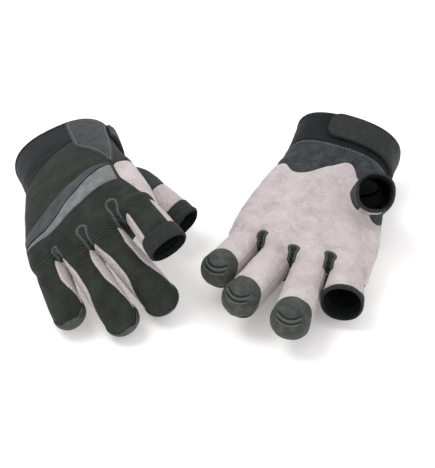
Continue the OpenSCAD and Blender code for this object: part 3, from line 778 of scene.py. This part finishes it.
def add_mesh(name, V, F, materials, kinds=None, uv=None, rest=None):
    a, b, c = (V[F[:, k]] for k in range(3))
    area = np.linalg.norm(np.cross(b - a, c - a), axis=1)
    keep = area > 1e-14
    F = F[keep]
    mesh = bpy.data.meshes.new(name)
    mesh.vertices.add(len(V))
    mesh.vertices.foreach_set("co", V.astype(np.float32).ravel())
    mesh.loops.add(len(F) * 3)
    mesh.loops.foreach_set("vertex_index", F.astype(np.int32).ravel())
    mesh.polygons.add(len(F))
    mesh.polygons.foreach_set("loop_start", np.arange(0, len(F) * 3, 3, dtype=np.int32))
    mesh.polygons.foreach_set("loop_total", np.full(len(F), 3, np.int32))
    for m in materials:
        mesh.materials.append(m)
    if kinds is not None:
        mesh.polygons.foreach_set("material_index", kinds[keep].astype(np.int32))
    mesh.update(calc_edges=True)
    mesh.polygons.foreach_set("use_smooth", np.ones(len(F), bool))
    if uv is not None:
        layer = mesh.uv_layers.new(name="weave")
        layer.data.foreach_set("uv", uv[F.ravel()].astype(np.float32).ravel())
    if rest is not None:
        att = mesh.attributes.new("rest", "FLOAT_VECTOR", "POINT")
        att.data.foreach_set("vector", (rest / 10).astype(np.float32).ravel())
    mesh.validate()
    obj = bpy.data.objects.new(name, mesh)
    bpy.context.scene.collection.objects.link(obj)
    return obj


# ---------------------------------------------------------------- materials
def srgb(r, g, b):
    linear = [v / 255 / 12.92 if v <= 10 else ((v / 255 + 0.055) / 1.055) ** 2.4 for v in (r, g, b)]
    return (*linear, 1.0)


class Nodes:
    """Short calls for building a node tree."""

    def __init__(self, name, roughness=0.8, specular=0.3, sheen=0.0):
        self.material = bpy.data.materials.new(name)
        self.material.use_nodes = True
        self.tree = self.material.node_tree
        self.shader = self.tree.nodes["Principled BSDF"]
        self.shader.inputs["Roughness"].default_value = roughness
        self.shader.inputs["Specular IOR Level"].default_value = specular
        if sheen:
            self.shader.inputs["Sheen Weight"].default_value = sheen
            self.shader.inputs["Sheen Roughness"].default_value = 0.5

    def link(self, a, b):
        self.tree.links.new(a, b)

    def put(self, socket, value):
        if isinstance(value, bpy.types.NodeSocket):
            self.link(value, socket)
        else:
            socket.default_value = value

    def rest(self):
        node = self.tree.nodes.new("ShaderNodeAttribute")
        node.attribute_name = "rest"
        return node.outputs["Vector"]

    def weave(self):
        uv = self.tree.nodes.new("ShaderNodeUVMap")
        uv.uv_map = "weave"
        split = self.tree.nodes.new("ShaderNodeSeparateXYZ")
        self.link(uv.outputs["UV"], split.inputs[0])
        return split.outputs["X"], split.outputs["Y"]

    def math(self, kind, a, b=0.0, c=0.0):
        node = self.tree.nodes.new("ShaderNodeMath")
        node.operation = kind
        for socket, value in zip(node.inputs, (a, b, c)):
            self.put(socket, value)
        return node.outputs[0]

    def noise(self, scale, detail=3.0, rough=0.55, vector=None, distortion=0.0):
        node = self.tree.nodes.new("ShaderNodeTexNoise")
        node.inputs["Scale"].default_value = scale
        node.inputs["Detail"].default_value = detail
        node.inputs["Roughness"].default_value = rough
        node.inputs["Distortion"].default_value = distortion
        self.link(vector or self.rest(), node.inputs["Vector"])
        return node.outputs["Fac"]

    def spots(self, scale):
        node = self.tree.nodes.new("ShaderNodeTexVoronoi")
        node.inputs["Scale"].default_value = scale
        self.link(self.rest(), node.inputs["Vector"])
        return node.outputs["Distance"]

    def ramp(self, value, *stops):
        node = self.tree.nodes.new("ShaderNodeValToRGB")
        self.put(node.inputs[0], value)
        elements = node.color_ramp.elements
        while len(elements) < len(stops):
            elements.new(0.5)
        for e, (place, colour) in zip(elements, stops):
            e.position, e.color = place, colour
        return node.outputs["Color"]

    def wave(self, coordinate, pitch):
        """0 to 1, once every pitch centimetres."""
        turns = self.math("MULTIPLY", coordinate, 2 * math.pi / pitch)
        return self.math("MULTIPLY_ADD", self.math("SINE", turns), 0.5, 0.5)

    def blend(self, a, share, b, other):
        return self.math("MULTIPLY_ADD", a, share, self.math("MULTIPLY", b, other))

    def tones(self, value, places, colours):
        return self.ramp(value, *[(place, srgb(*c)) for place, c in zip(places, colours)])

    def bump(self, height, strength, distance, normal=None):
        node = self.tree.nodes.new("ShaderNodeBump")
        node.inputs["Strength"].default_value = strength
        node.inputs["Distance"].default_value = distance
        self.link(height, node.inputs["Height"])
        if normal is not None:
            self.link(normal, node.inputs["Normal"])
        return node.outputs["Normal"]

    def done(self, colour, normal=None, rough=None):
        self.put(self.shader.inputs["Base Color"], colour)
        if normal is not None:
            self.link(normal, self.shader.inputs["Normal"])
        if rough is not None:
            self.put(self.shader.inputs["Roughness"], rough)
        return self.material


# name, (roughness, specular, sheen), fine noise and its share, coarse noise and its share, places and
# colours of the tones, noise, strength and depth of the relief, noise and share of the uneven gloss
GRAINED = (
    ("dark_suede", (0.88, 0.15, 0.06), (12, 4, 0.65), 0.5, (1.3, 5, 0.6), 0.5, (0.34, 0.5, 0.66),
     ((35, 38, 40), (52, 56, 58), (75, 79, 80)), ((40, 3), 0.5, 0.0004), None),
    ("gusset", (0.85, 0.2, 0.05), (14, 4, 0.65), 0.5, (2.0, 4), 0.5, (0.34, 0.5, 0.66),
     ((44, 48, 47), (62, 67, 66), (84, 89, 88)), ((40, 3), 0.5, 0.0004), None),
    ("felt", (0.95, 0.12, 0.12), (22, 4, 0.7), 0.6, (2, 3), 0.4, (0.34, 0.5, 0.66),
     ((39, 42, 43), (56, 60, 61), (76, 79, 80)), ((55, 3, 0.7), 0.7, 0.0006), None),
    ("band_dark", (0.6, 0.3), (30, 3), 0.4, (1.6, 3), 0.6, (0.3, 0.5, 0.72),
     ((44, 47, 50), (60, 63, 66), (78, 81, 84)), ((45, 3), 0.35, 0.0003), ((8, 3), 0.25)),
    ("band_light", (0.6, 0.3), (30, 3), 0.4, (1.6, 3), 0.6, (0.3, 0.5, 0.72),
     ((86, 88, 89), (108, 110, 111), (131, 132, 133)), ((45, 3), 0.35, 0.0003), ((8, 3), 0.25)),
    ("cap", (0.6, 0.3), (26, 4), 0.45, (2.2, 4), 0.55, (0.34, 0.5, 0.66),
     ((40, 43, 41), (57, 61, 58), (76, 81, 78)), ((50, 3), 0.5, 0.0003), ((7, 3), 0.3)))
# name, (roughness, specular), noise, two colours, noise, strength and depth of the relief
TWO_TONED = (
    # painted shade in the tip caps' embossed lines, and a painted highlight on the strip beside each
    ("cap_groove_painted_shade", (0.5, 0.3), (9, 3), (17, 20, 19), (21.25, 25, 23.75), ((50, 3), 0.5, 0.0003)),
    ("cap_painted_highlight", (0.5, 0.3), (9, 3), (78, 83, 80), (97.5, 103.75, 100), ((50, 3), 0.5, 0.0003)),
    ("lining", (0.95, 0.1), (6, 4), (16, 17, 17), (38, 40, 40), ((30, 3), 0.5, 0.0004)),
    ("seam_line", (0.9, 0.1), (20, 3), (14, 15, 16), (30, 32, 33), None),
    ("thread_light", (0.6, 0.4), (30, 2), (196, 186, 188), (238, 232, 232), ((80, 2), 0.4, 0.0001)),
    ("thread_dark", (0.6, 0.4), (30, 2), (20, 22, 24), (52, 55, 57), ((80, 2), 0.4, 0.0001)),
    ("thread_grey", (0.6, 0.4), (30, 2), (96, 98, 100), (140, 142, 143), ((80, 2), 0.4, 0.0001)))


def make_materials():
    M = {}
    for name, finish, fine, share, coarse, other, places, colours, relief, gloss in GRAINED:
        n = Nodes(name, *finish)
        tone = n.blend(n.noise(*fine), share, n.noise(*coarse), other)
        bump = n.bump(n.noise(*relief[0]), *relief[1:])
        uneven = n.math("MULTIPLY_ADD", n.noise(*gloss[0]), gloss[1], 0.42) if gloss else None
        M[name] = n.done(n.tones(tone, places, colours), bump, uneven)
    for name, finish, noise, low, high, relief in TWO_TONED:
        n = Nodes(name, *finish)
        bump = n.bump(n.noise(*relief[0]), *relief[1:]) if relief else None
        M[name] = n.done(n.tones(n.noise(*noise), (0.3, 0.7), (low, high)), bump)
    # ribbed stretch cloth: ribs run across the hand and fingers, a knit pattern whose valleys are also coloured
    # darker than the ridges as painted shade
    n = Nodes("stretch_cloth", 0.85, 0.2, 0.03)
    along, across = n.weave()
    rib_and_shade = n.wave(n.math("MULTIPLY_ADD", n.noise(3.0, 2), 0.04, along), 0.118)
    knit = n.wave(across, 0.09)
    # painted shade: the colour follows the ribs' relief, darker in their valleys
    tone = n.blend(n.noise(1.1, 4), 0.45, rib_and_shade, 0.34)
    tone = n.math("MULTIPLY_ADD", knit, 0.06, n.math("MULTIPLY_ADD", n.noise(14, 3), 0.2, tone))
    colour = n.tones(tone, (0.25, 0.55, 0.85), ((17, 20, 18), (38, 43, 39), (66, 72, 66)))
    height = n.math("MULTIPLY_ADD", knit, 0.25, rib_and_shade)
    M["stretch"] = n.done(colour, n.bump(n.noise(60, 2), 0.3, 0.0002, n.bump(height, 0.5, 0.0003)))
    # suede: a napped face, brushed darker and lighter in clouds, with small wrinkles whose grooves are coloured
    # darker as painted shade
    n = Nodes("suede", 0.95, 0.12, 0.2)
    grain = n.noise(16, 4, 0.65)
    crease_and_shade = n.math("ABSOLUTE", n.math("SUBTRACT", n.noise(2.6, 5, 0.6, distortion=1.2), 0.5))
    crease_and_shade = n.math("MINIMUM", n.math("MULTIPLY", crease_and_shade, 9.0), 1.0)
    tone = n.blend(grain, 0.4, n.noise(0.8, 6, 0.62, distortion=0.4), 0.55)
    # painted shade: the colour darkens along the wrinkle grooves
    tone = n.math("MULTIPLY_ADD", crease_and_shade, 0.05, tone)
    colour = n.tones(tone, (0.34, 0.47, 0.58, 0.74),
                     ((168, 155, 157), (194, 183, 184), (203, 193, 193), (216, 208, 207)))
    height = n.math("MULTIPLY_ADD", n.noise(70, 2, 0.6), 0.35, grain)
    M["suede"] = n.done(colour, n.bump(n.math("MULTIPLY_ADD", crease_and_shade, 0.8, height), 0.6, 0.0006))
    # light side walls of the fingers
    n = Nodes("light_sides", 0.9, 0.15, 0.15)
    tone = n.blend(n.noise(9, 4), 0.6, n.wave(n.weave()[1], 0.11), 0.15)
    colour = n.tones(tone, (0.2, 0.5, 0.8), ((150, 140, 140), (196, 187, 186), (216, 209, 208)))
    M["light_sides"] = n.done(colour, n.bump(n.noise(22, 4), 0.5, 0.0004))
    # smooth neoprene with a knitted face
    n = Nodes("neoprene", 0.75, 0.2, 0.03)
    along, across = n.weave()
    weave = n.math("MULTIPLY", n.wave(along, 0.055), n.wave(across, 0.055))
    colour = n.tones(n.blend(weave, 0.2, n.noise(1.4, 4), 0.7), (0.2, 0.5, 0.8),
                     ((10, 13, 16), (18, 22, 27), (32, 38, 44)))
    M["neoprene"] = n.done(colour, n.bump(weave, 0.35, 0.0002))
    # edge binding
    n = Nodes("binding", 0.8, 0.2, 0.03)
    cord = n.wave(n.weave()[1], 0.08)
    colour = n.tones(n.blend(cord, 0.25, n.noise(5, 4), 0.6), (0.2, 0.5, 0.8),
                     ((24, 26, 26), (42, 45, 44), (62, 66, 64)))
    M["binding"] = n.done(colour, n.bump(cord, 0.4, 0.0002))
    # strap
    n = Nodes("strap_rubber", 0.65, 0.3)
    cord = n.wave(n.weave()[0], 0.07)
    colour = n.tones(n.blend(cord, 0.2, n.noise(4, 4), 0.7), (0.2, 0.45, 0.7),
                     ((20, 22, 22), (31, 34, 34), (48, 51, 51)))
    M["strap"] = n.done(colour, n.bump(cord, 0.35, 0.0002))
    # hooks
    n = Nodes("hooks", 0.7, 0.4)
    tone = n.spots(11)
    colour = n.tones(tone, (0.0, 0.35, 0.8), ((58, 60, 66), (28, 29, 34), (14, 15, 18)))
    M["hooks"] = n.done(colour, n.bump(tone, 0.9, 0.0006))
    return M


M = make_materials()


# ---------------------------------------------------------------- threads
def chain(links):
    """Strings of points from pairs of edge keys."""
    near = {}
    for a, b in links:
        near.setdefault(a, []).append(b)
        near.setdefault(b, []).append(a)
    seen, out = set(), []
    starts = [k for k in near if len(near[k]) == 1] + list(near)
    for start in starts:
        if start in seen:
            continue
        line, at = [start], start
        seen.add(start)
        while True:
            step = [k for k in near[at] if k not in seen]
            if not step:
                break
            at = step[0]
            seen.add(at)
            line.append(at)
        if len(line) > 1 and line[0] in near[line[-1]] and len(line) > 3:
            line.append(line[0])
        if len(line) > 3:
            out.append(line)
    return out


def iso_lines(maker, func, faces, lift=0.0):
    """Lines on the shaped skin where func is 0, as lists of (points, normals)."""
    skin = maker.skin
    F = skin.F[faces]
    idx = np.unique(F)
    val = np.ones(len(skin.V))
    val[idx] = func(skin.V[idx]) + 1e-7
    E = np.sort(np.stack([F, np.roll(F, -1, 1)], -1), axis=2)
    va, vb = val[E[..., 0]], val[E[..., 1]]
    cross = va * vb < 0
    rows = np.flatnonzero(cross.sum(1) == 2)
    n = len(skin.V)
    key = E[..., 0] * n + E[..., 1]
    pairs = [key[r][cross[r]].tolist() for r in rows]
    out = []
    for line in chain(pairs):
        k = np.array(line)
        a, b = k // n, k % n
        t = (val[a] / (val[a] - val[b]))[:, None]
        P = maker.V[a] * (1 - t) + maker.V[b] * t
        N = maker.N[a] * (1 - t) + maker.N[b] * t
        N /= np.linalg.norm(N, axis=1, keepdims=True)
        out.append((P + N * lift, N))
    return out


def sew(maker, name, lines, material, body, pitch=2.4, length=1.7, radius=0.27, start=None, end=None):
    """Short raised stitches along lines, as one piece."""
    ring = np.linspace(0, 2 * math.pi, 6, endpoint=False)
    places = np.array((-0.5, -0.42, -0.2, 0.2, 0.42, 0.5))
    widths = np.array((0.15, 0.75, 1.0, 1.0, 0.75, 0.15))
    sink = np.array((-0.9, -0.2, 0.15, 0.15, -0.2, -0.9))
    V, F, base, quads = [], [], 0, []
    for i in range(5):
        for j in range(6):
            a, b = i * 6 + j, i * 6 + (j + 1) % 6
            quads += [(a, b, b + 6), (a, b + 6, a + 6)]
    quads += [(0, k + 1, k) for k in range(1, 5)] + [(30, 30 + k, 31 + k) for k in range(1, 5)]
    quads = np.array(quads)
    for P, N in lines:
        step = np.linalg.norm(np.diff(P, axis=0), axis=1)
        dist = np.concatenate([[0], np.cumsum(step)])
        if dist[-1] < pitch * 2:
            continue
        count = max(1, int(round(dist[-1] / pitch)))
        for c in (np.arange(count) + 0.5) * dist[-1] / count:
            p, q0, q1 = (np.array([np.interp(c + d, dist, P[:, k]) for k in range(3)])
                         for d in (0, -0.6, 0.6))
            nrm = np.array([np.interp(c, dist, N[:, k]) for k in range(3)])
            t = q1 - q0
            t = t - nrm * np.dot(t, nrm)
            t /= max(np.linalg.norm(t), 1e-9)
            side = np.cross(t, nrm)
            for k in range(6):
                centre = p + t * places[k] * length + nrm * sink[k] * radius
                round_ = np.cos(ring)[:, None] * side * 0.9 + np.sin(ring)[:, None] * nrm
                V.append(centre + radius * widths[k] * round_)
            F.append(quads + base)
            base += 36
    if F:
        V, F = np.concatenate(V), np.concatenate(F)
        maker.carry(maker.add(name, V, F, (material,), None, None, V), body, start, end)


# ---------------------------------------------------------------- one glove
BODY = {name: "hand" for name in ("back_panel", "palm_panel", "heel_panel", "thumb_side_patch", "knuckle_band",
                                  "web_gussets", "cuff", "cuff_binding", "strap_anchor")}
LOOK = {"back_panel": "stretch", "palm_panel": "suede", "heel_panel": "dark_suede", "thumb_side_patch": "suede",
        "cuff": "neoprene", "cuff_binding": "binding", "strap_anchor": "felt",
        "thumb_front": "dark_suede", "thumb_back": "light_sides", "thumb_binding": "binding",
        "back": "stretch", "front": "suede", "sidewalls": "light_sides", "binding": "binding", "tip_cap": "cap"}


def kind_of(name, rows):
    return rows[name] if name in rows else rows[name.split("_", 1)[1]]


def turning(maker, tube, faces, reach):
    """Two points along a sleeve: just past where it leaves the rest of the skin, and reach mm further on, in the
    row frame.
    """
    skin, glove = maker.skin, maker.glove
    p0 = tube.place(np.array(0.0), np.array(0.0), np.array(0.0))
    p1 = tube.place(np.array(reach + 10.0), np.array(0.0), np.array(0.0))
    d = (p1 - p0) / np.linalg.norm(p1 - p0)
    inside = np.zeros(len(skin.V), bool)
    inside[skin.F[faces]] = True
    other = np.zeros(len(skin.V), bool)
    other[skin.F[~faces]] = True
    root = (maker.V[inside & other] - p0) @ d
    start = root.max() + 0.3
    return glove.world(p0 + d * start), glove.world(p0 + d * (start + reach))


def build(side):
    glove = Glove(side)
    skin = make_skin(glove)
    m = Maker(glove, skin)
    names = [n for n in skin.names if skin.where(n).any()]
    bends = {}
    for name, reach in [(f, 14.0) for f in FINGERS] + [("thumb", 12.0)]:
        faces = np.isin(skin.lab, [skin.id(n) for n in names if n.startswith(name + "_")
                                   and n != "thumb_side_patch"])
        bends[name] = turning(m, glove.sleeve(name), faces, reach)

    def mm(func):
        """func as millimetres along the skin, for any of its own points."""
        def f(P):
            N, g = glove.normal(P), slope(func, P)
            g = g - N * np.sum(g * N, -1, keepdims=True)
            return func(P) / np.maximum(np.linalg.norm(g, axis=-1), 0.15)
        return f

    def finish_piece(obj, name):
        body = BODY.get(name)
        first = name.split("_")[0]
        if body:
            m.carry(obj, body)
        else:
            body = "thumb" if first == "thumb" else first + "_finger"
            m.carry(obj, body, *bends[first])
        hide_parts(f"{m.side}_{name}")

    for name in names:
        faces = skin.where(name)
        look, lift, depth, tube = kind_of(name, LOOK), None, SUEDE_T, glove.sleeve(name)
        if name.endswith("tip_cap"):
            edge = mm(skin.overlays[name][0])

            def lift(P):
                s, u = tube.local(P)[:2]
                ridge = sum(np.exp(-(cap_seam(tube, P, drop) / 0.65) ** 2) for drop in CAP_SEAMS)
                ridge *= smooth(s - tube.length, -8, -6) * smooth(np.abs(u), 8.5, 7)
                return 0.5 * edge_round(edge(P)) - 0.6 * ridge
        elif name.endswith("_binding"):
            t = NEOPRENE_T + 0.8 if name == "cuff_binding" else 2.0
            if name == "cuff_binding":
                edges = (lambda P: BINDING_LEN - tube.local(P)[0], lambda P: tube.local(P)[0])
            else:
                edges = (mm(skin.overlays[name][0]), lambda P: tube.length - tube.local(P)[0])

            def lift(P):
                inner, outer = edges[0](P), edges[1](P)
                return 0.6 * edge_round(inner, 1.0) - (t / 2 + 0.6) * (1 - edge_round(outer, 1.3))

            def depth(P):
                return t * edge_round(edges[1](P), 1.3) + 0.02
        elif name == "cuff":
            depth = NEOPRENE_T
        obj = m.shell(name, faces, lift, depth, (M[look], M["lining"]))
        if name.endswith("tip_cap"):
            # each embossed line on the cap is coloured darker as painted shade, and the strip just beside it
            # lighter as a painted highlight
            recolour(obj, M["cap_groove_painted_shade"], lambda P: beside_cap_seam(tube, P, -CAP_SHADE_HALF, CAP_SHADE_HALF))
            recolour(obj, M["cap_painted_highlight"], lambda P: beside_cap_seam(tube, P, CAP_SHADE_HALF, CAP_HIGHLIGHT_TO))
        finish_piece(obj, name)
    for name in skin.over:
        func, lift_by = skin.overlays[name][:2]
        edge = mm(func)

        def sunken(P):
            return 0.6 * smooth(edge(P), 1.5, 2.3) if name == "web_gussets" else 0.0

        def lift(P):
            return lift_by * edge_round(edge(P)) - sunken(P) + 0.05

        def depth(P):
            return lift_by * edge_round(edge(P)) + 0.25
        if name == "knuckle_band":
            obj = band_piece(m, skin.over[name], func, lift_by)
        elif name == "web_gussets":
            obj = m.shell(name, skin.over[name], lift, depth, (M["gusset"], M["lining"]))
            recolour(obj, M["stretch"], lambda P: func(P) > GUSSET_DARK)
        else:
            obj = m.shell(name, skin.over[name], lift, depth, (M[kind_of(name, LOOK)], M["lining"]))
        finish_piece(obj, name)
    strap_pieces(m)
    stitch(m, mm, bends)


def stitch(m, mm, bends):
    """Rows of thread beside the seams."""
    skin = m.skin

    def rows(name, insets, within, lift=0.1):
        func = mm(skin.lines[name])
        return [line for inset in insets
                for line in iso_lines(m, lambda P: func(P) - inset, skin.where(*within) & ~covered, lift)]
    covered = np.zeros(len(skin.F), bool)
    for faces in skin.over.values():
        covered |= faces
    sew(m, "patch_stitching", rows("patch", (2.0,), ("thumb_side_patch",)), M["thread_light"], "hand")
    sew(m, "heel_stitching", rows("heel", (1.9,), ("palm_panel",)), M["thread_light"], "hand")
    sew(m, "palm_stitching", rows("palm", (-1.1, 1.1), ("palm_panel",)), M["thread_light"], "hand",
        2.2, 1.6, 0.24)
    sew(m, "cuff_stitching", rows("cuff", (1.9,), ("heel_panel",)), M["thread_grey"], "hand")
    sew(m, "hem_stitching", rows("rim", (BINDING_LEN + 1.4,), ("cuff",)), M["thread_dark"], "hand")
    anchor = mm(skin.overlays["strap_anchor"][0])
    sew(m, "anchor_stitching", iso_lines(m, lambda P: anchor(P) - 1.9, skin.over["strap_anchor"], 0.95),
        M["thread_grey"], "hand")
    gusset = mm(skin.overlays["web_gussets"][0])
    sew(m, "gusset_stitching", iso_lines(m, lambda P: gusset(P) - 1.0, skin.over["web_gussets"], 0.85),
        M["thread_grey"], "hand", 1.9, 1.3, 0.2)
    for name in FINGERS:
        lines = rows(name, (-1.3,), (name + "_sidewalls",)) + rows(name + "_palm", (1.5,), (name + "_front",))
        sew(m, name + "_stitching", lines, M["thread_light"], name + "_finger", 2.2, 1.5, 0.22, *bends[name])


def recolour(obj, material, inside):
    """Gives the outer faces whose middle is inside another material."""
    mesh = obj.data
    rest = np.zeros(len(mesh.vertices) * 3, np.float32)
    mesh.attributes["rest"].data.foreach_get("vector", rest)
    corners = np.array([p.vertices[:] for p in mesh.polygons])
    kinds = np.array([p.material_index for p in mesh.polygons])
    mesh.materials.append(material)
    middle = rest.reshape(-1, 3)[corners].mean(1) * 10.0
    kinds[(kinds == 0) & inside(middle)] = len(mesh.materials) - 1
    mesh.polygons.foreach_set("material_index", kinds.astype(np.int32))


def band_piece(m, faces, func, t):
    glove = m.glove

    def lift(P):
        line = band_line(glove, P)
        edge = func(P)
        swell = 0.35 * np.exp(-((edge - 3.2) / 2.2) ** 2)
        return t * edge_round(edge) + swell - 0.75 * np.exp(-(line / 0.6) ** 2) + 0.05

    def depth(P):
        return t * edge_round(func(P)) + 0.3
    obj = m.shell("knuckle_band", faces, lift, depth, (M["band_dark"], M["lining"]))
    recolour(obj, M["band_light"], lambda P: band_line(glove, P) > BAND_SEAM)
    recolour(obj, M["seam_line"], lambda P: np.abs(band_line(glove, P)) < BAND_SEAM)
    return obj


def strap_grid(rows, cols, half_width):
    """A grid of points over the wrist: rows round it and cols across the strap."""
    A = np.linspace(STRAP_END, STRAP_ROOT, rows)[:, None]
    t = np.linspace(-1, 1, cols)[None]
    t = np.sign(t) * (1 - (1 - np.abs(t)) ** 1.6)
    w = half_width(A)
    return A + 0 * t, STRAP_MIDDLE + t * w, (1 - np.abs(t)) * w


def closed_grid(top, bottom):
    """Triangles over two grids of points, joined round their border."""
    r, c = top.shape[:2]
    i, j = np.meshgrid(np.arange(r - 1), np.arange(c - 1), indexing="ij")
    a = (i * c + j).ravel()
    quads = np.stack([a, a + 1, a + c + 1, a + c], 1)
    F = [quads[:, [0, 1, 2]], quads[:, [0, 2, 3]]]
    n = r * c
    F += [quads[:, [0, 2, 1]] + n, quads[:, [0, 3, 2]] + n]
    loop = np.concatenate([np.arange(c), np.arange(1, r) * c + c - 1,
                           (r - 1) * c + np.arange(c - 2, -1, -1), np.arange(r - 2, 0, -1) * c])
    nxt = np.roll(loop, -1)
    F += [np.stack([loop, loop + n, nxt + n], 1), np.stack([loop, nxt + n, nxt], 1)]
    return np.concatenate([top.reshape(-1, 3), bottom.reshape(-1, 3)]), np.concatenate(F)


def strap_pieces(m):
    hand = m.glove.hand

    def half(a):
        d = np.clip((a - STRAP_END) * STRAP_ARC / STRAP_CORNER, 0, 1)
        return STRAP_HALF * (1 - (1 - d) ** 2.6) ** (1 / 2.6) + 0.02

    def rise(a):
        return STRAP_RISE - 1.1 * smooth(a, STRAP_ROOT - 12, STRAP_ROOT)

    def weave(A, s):
        return np.tile(np.stack([A * HAND_ARC / 10, s / 10], -1).reshape(-1, 2), (2, 1))

    A, s, edge = strap_grid(190, 33, half)
    edge = np.minimum(edge, (A - STRAP_END) * STRAP_ARC)
    ripple = (0.18 * np.sin(A * 0.21) * np.sin(s * 0.35)
              + 0.12 * lattice_noise(np.stack([A * 0.6, s, A * 0], -1), 9, 21))
    groove = -0.35 * np.exp(-((edge - STRAP_GROOVE) / 0.35) ** 2)
    swell = (STRAP_T - 0.15) * edge_round(edge, 1.2) + (ripple + groove) * smooth(edge, 0.3, 1.5)
    top = hand.point(s, A, rise(A) + 0.15 + swell)
    bottom = hand.point(s, A, (rise(A) + 0.05) * (1 - 0.95 * smooth(A, -52, -34)) + 0 * s)
    V, F = closed_grid(top, bottom)
    obj = m.add("strap", V, F, (M["strap"],), None, weave(A, s), V)
    m.carry(obj, "strap_flap")
    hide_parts(f"{m.side}_strap")
    # stitches all round the strap, in its groove
    a = np.linspace(STRAP_ROOT - 3, STRAP_END + 8, 120)
    across = STRAP_HALF - STRAP_GROOVE
    side_a = [(x, STRAP_MIDDLE - across) for x in a]
    end = [(STRAP_END + (STRAP_GROOVE + 5.6 * (1 - math.sin(q))) / STRAP_ARC,
            STRAP_MIDDLE - across * math.cos(q)) for q in np.linspace(0, math.pi, 40)]
    side_b = [(x, STRAP_MIDDLE + across) for x in a[::-1]]
    path = np.array(side_a + end + side_b)
    P = hand.point(path[:, 1], path[:, 0], STRAP_T + rise(path[:, 0]) - 0.2)
    Q = hand.point(path[:, 1], path[:, 0], STRAP_T + rise(path[:, 0]) + 0.8)
    sew(m, "strap_stitching", [(P, Q - P)], M["thread_dark"], "strap_flap", radius=0.3)
    # the hook tape under the free end
    A = np.linspace(STRAP_END + 6, STRAP_END + 44, 60)[:, None] + np.zeros((1, 26))
    s = np.linspace(STRAP_FROM + 3, STRAP_FROM + STRAP_W - 3, 26)[None] + np.zeros((60, 1))
    bumps = 0.12 * np.sin(A * 6.0) * np.sin(s * 4.2)
    top = hand.point(s, A, STRAP_RISE - 0.15 + 0 * s)
    bottom = hand.point(s, A, STRAP_RISE - 0.75 + bumps)
    V, F = closed_grid(top, bottom)
    obj = m.add("hook_tape", V, F, (M["hooks"],), None, weave(A, s), V)
    m.carry(obj, "strap_flap")
    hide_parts(f"{m.side}_hook_tape")


for hand_side in (RIGHT, LEFT):
    build(hand_side)

# ---------------------------------------------------------------- floor, lights and camera
scene = bpy.context.scene
scene.view_settings.view_transform = "Standard"
scene.view_settings.look = "None"
FLOOR = 6.0  # metres from its middle to its edges
floor_mesh = bpy.data.meshes.new("floor")
floor_mesh.from_pydata([(-FLOOR, -FLOOR, 0), (FLOOR, -FLOOR, 0), (FLOOR, FLOOR, 0), (-FLOOR, FLOOR, 0)],
                       [], [(0, 1, 2, 3)])
floor = bpy.data.objects.new("floor", floor_mesh)
floor.location.z = -0.0008
scene.collection.objects.link(floor)
paper = bpy.data.materials.new("paper")
paper.use_nodes = True
for socket, value in (("Base Color", (0.94, 0.925, 0.925, 1)), ("Emission Color", (1.0, 0.98, 0.975, 1)),
                      ("Emission Strength", 0.2), ("Roughness", 0.9), ("Specular IOR Level", 0.1)):
    paper.node_tree.nodes["Principled BSDF"].inputs[socket].default_value = value
floor_mesh.materials.append(paper)

world = bpy.data.worlds.new("studio")
world.use_nodes = True
world.node_tree.nodes["Background"].inputs["Color"].default_value = (1.0, 1.0, 1.0, 1)
world.node_tree.nodes["Background"].inputs["Strength"].default_value = 0.9
scene.world = world


def area(name, place, size, power, colour=(1, 1, 1)):
    light = bpy.data.lights.new(name, "AREA")
    light.shape, light.size, light.energy, light.color = "DISK", size, power, colour
    obj = bpy.data.objects.new(name, light)
    obj.location = place
    obj.rotation_mode = "QUATERNION"
    obj.rotation_quaternion = (Vector((0, 0, 0.02)) - Vector(place)).to_track_quat("-Z", "Y")
    scene.collection.objects.link(obj)


area("key", (-0.6, 0.0, 1.35), 0.7, 8.0, (1.0, 0.985, 0.97))
area("fill", (0.9, -0.7, 0.9), 1.2, 2.5, (0.97, 0.98, 1.0))
area("rim", (0.3, 1.3, 0.8), 0.8, 1.5)

camera = bpy.data.cameras.new("camera")
camera.lens, camera.sensor_width = 117.9, 36.0
camera.clip_start, camera.clip_end = 0.05, 30
cam = bpy.data.objects.new("camera", camera)
lift_angle = math.radians(43)
target = Vector((0.0064, 0, 0.018))
cam.location = target + 1.05 * Vector((0, -math.cos(lift_angle), math.sin(lift_angle)))
cam.rotation_mode = "QUATERNION"
cam.rotation_quaternion = (target - cam.location).to_track_quat("-Z", "Y")
scene.collection.objects.link(cam)
scene.camera = cam
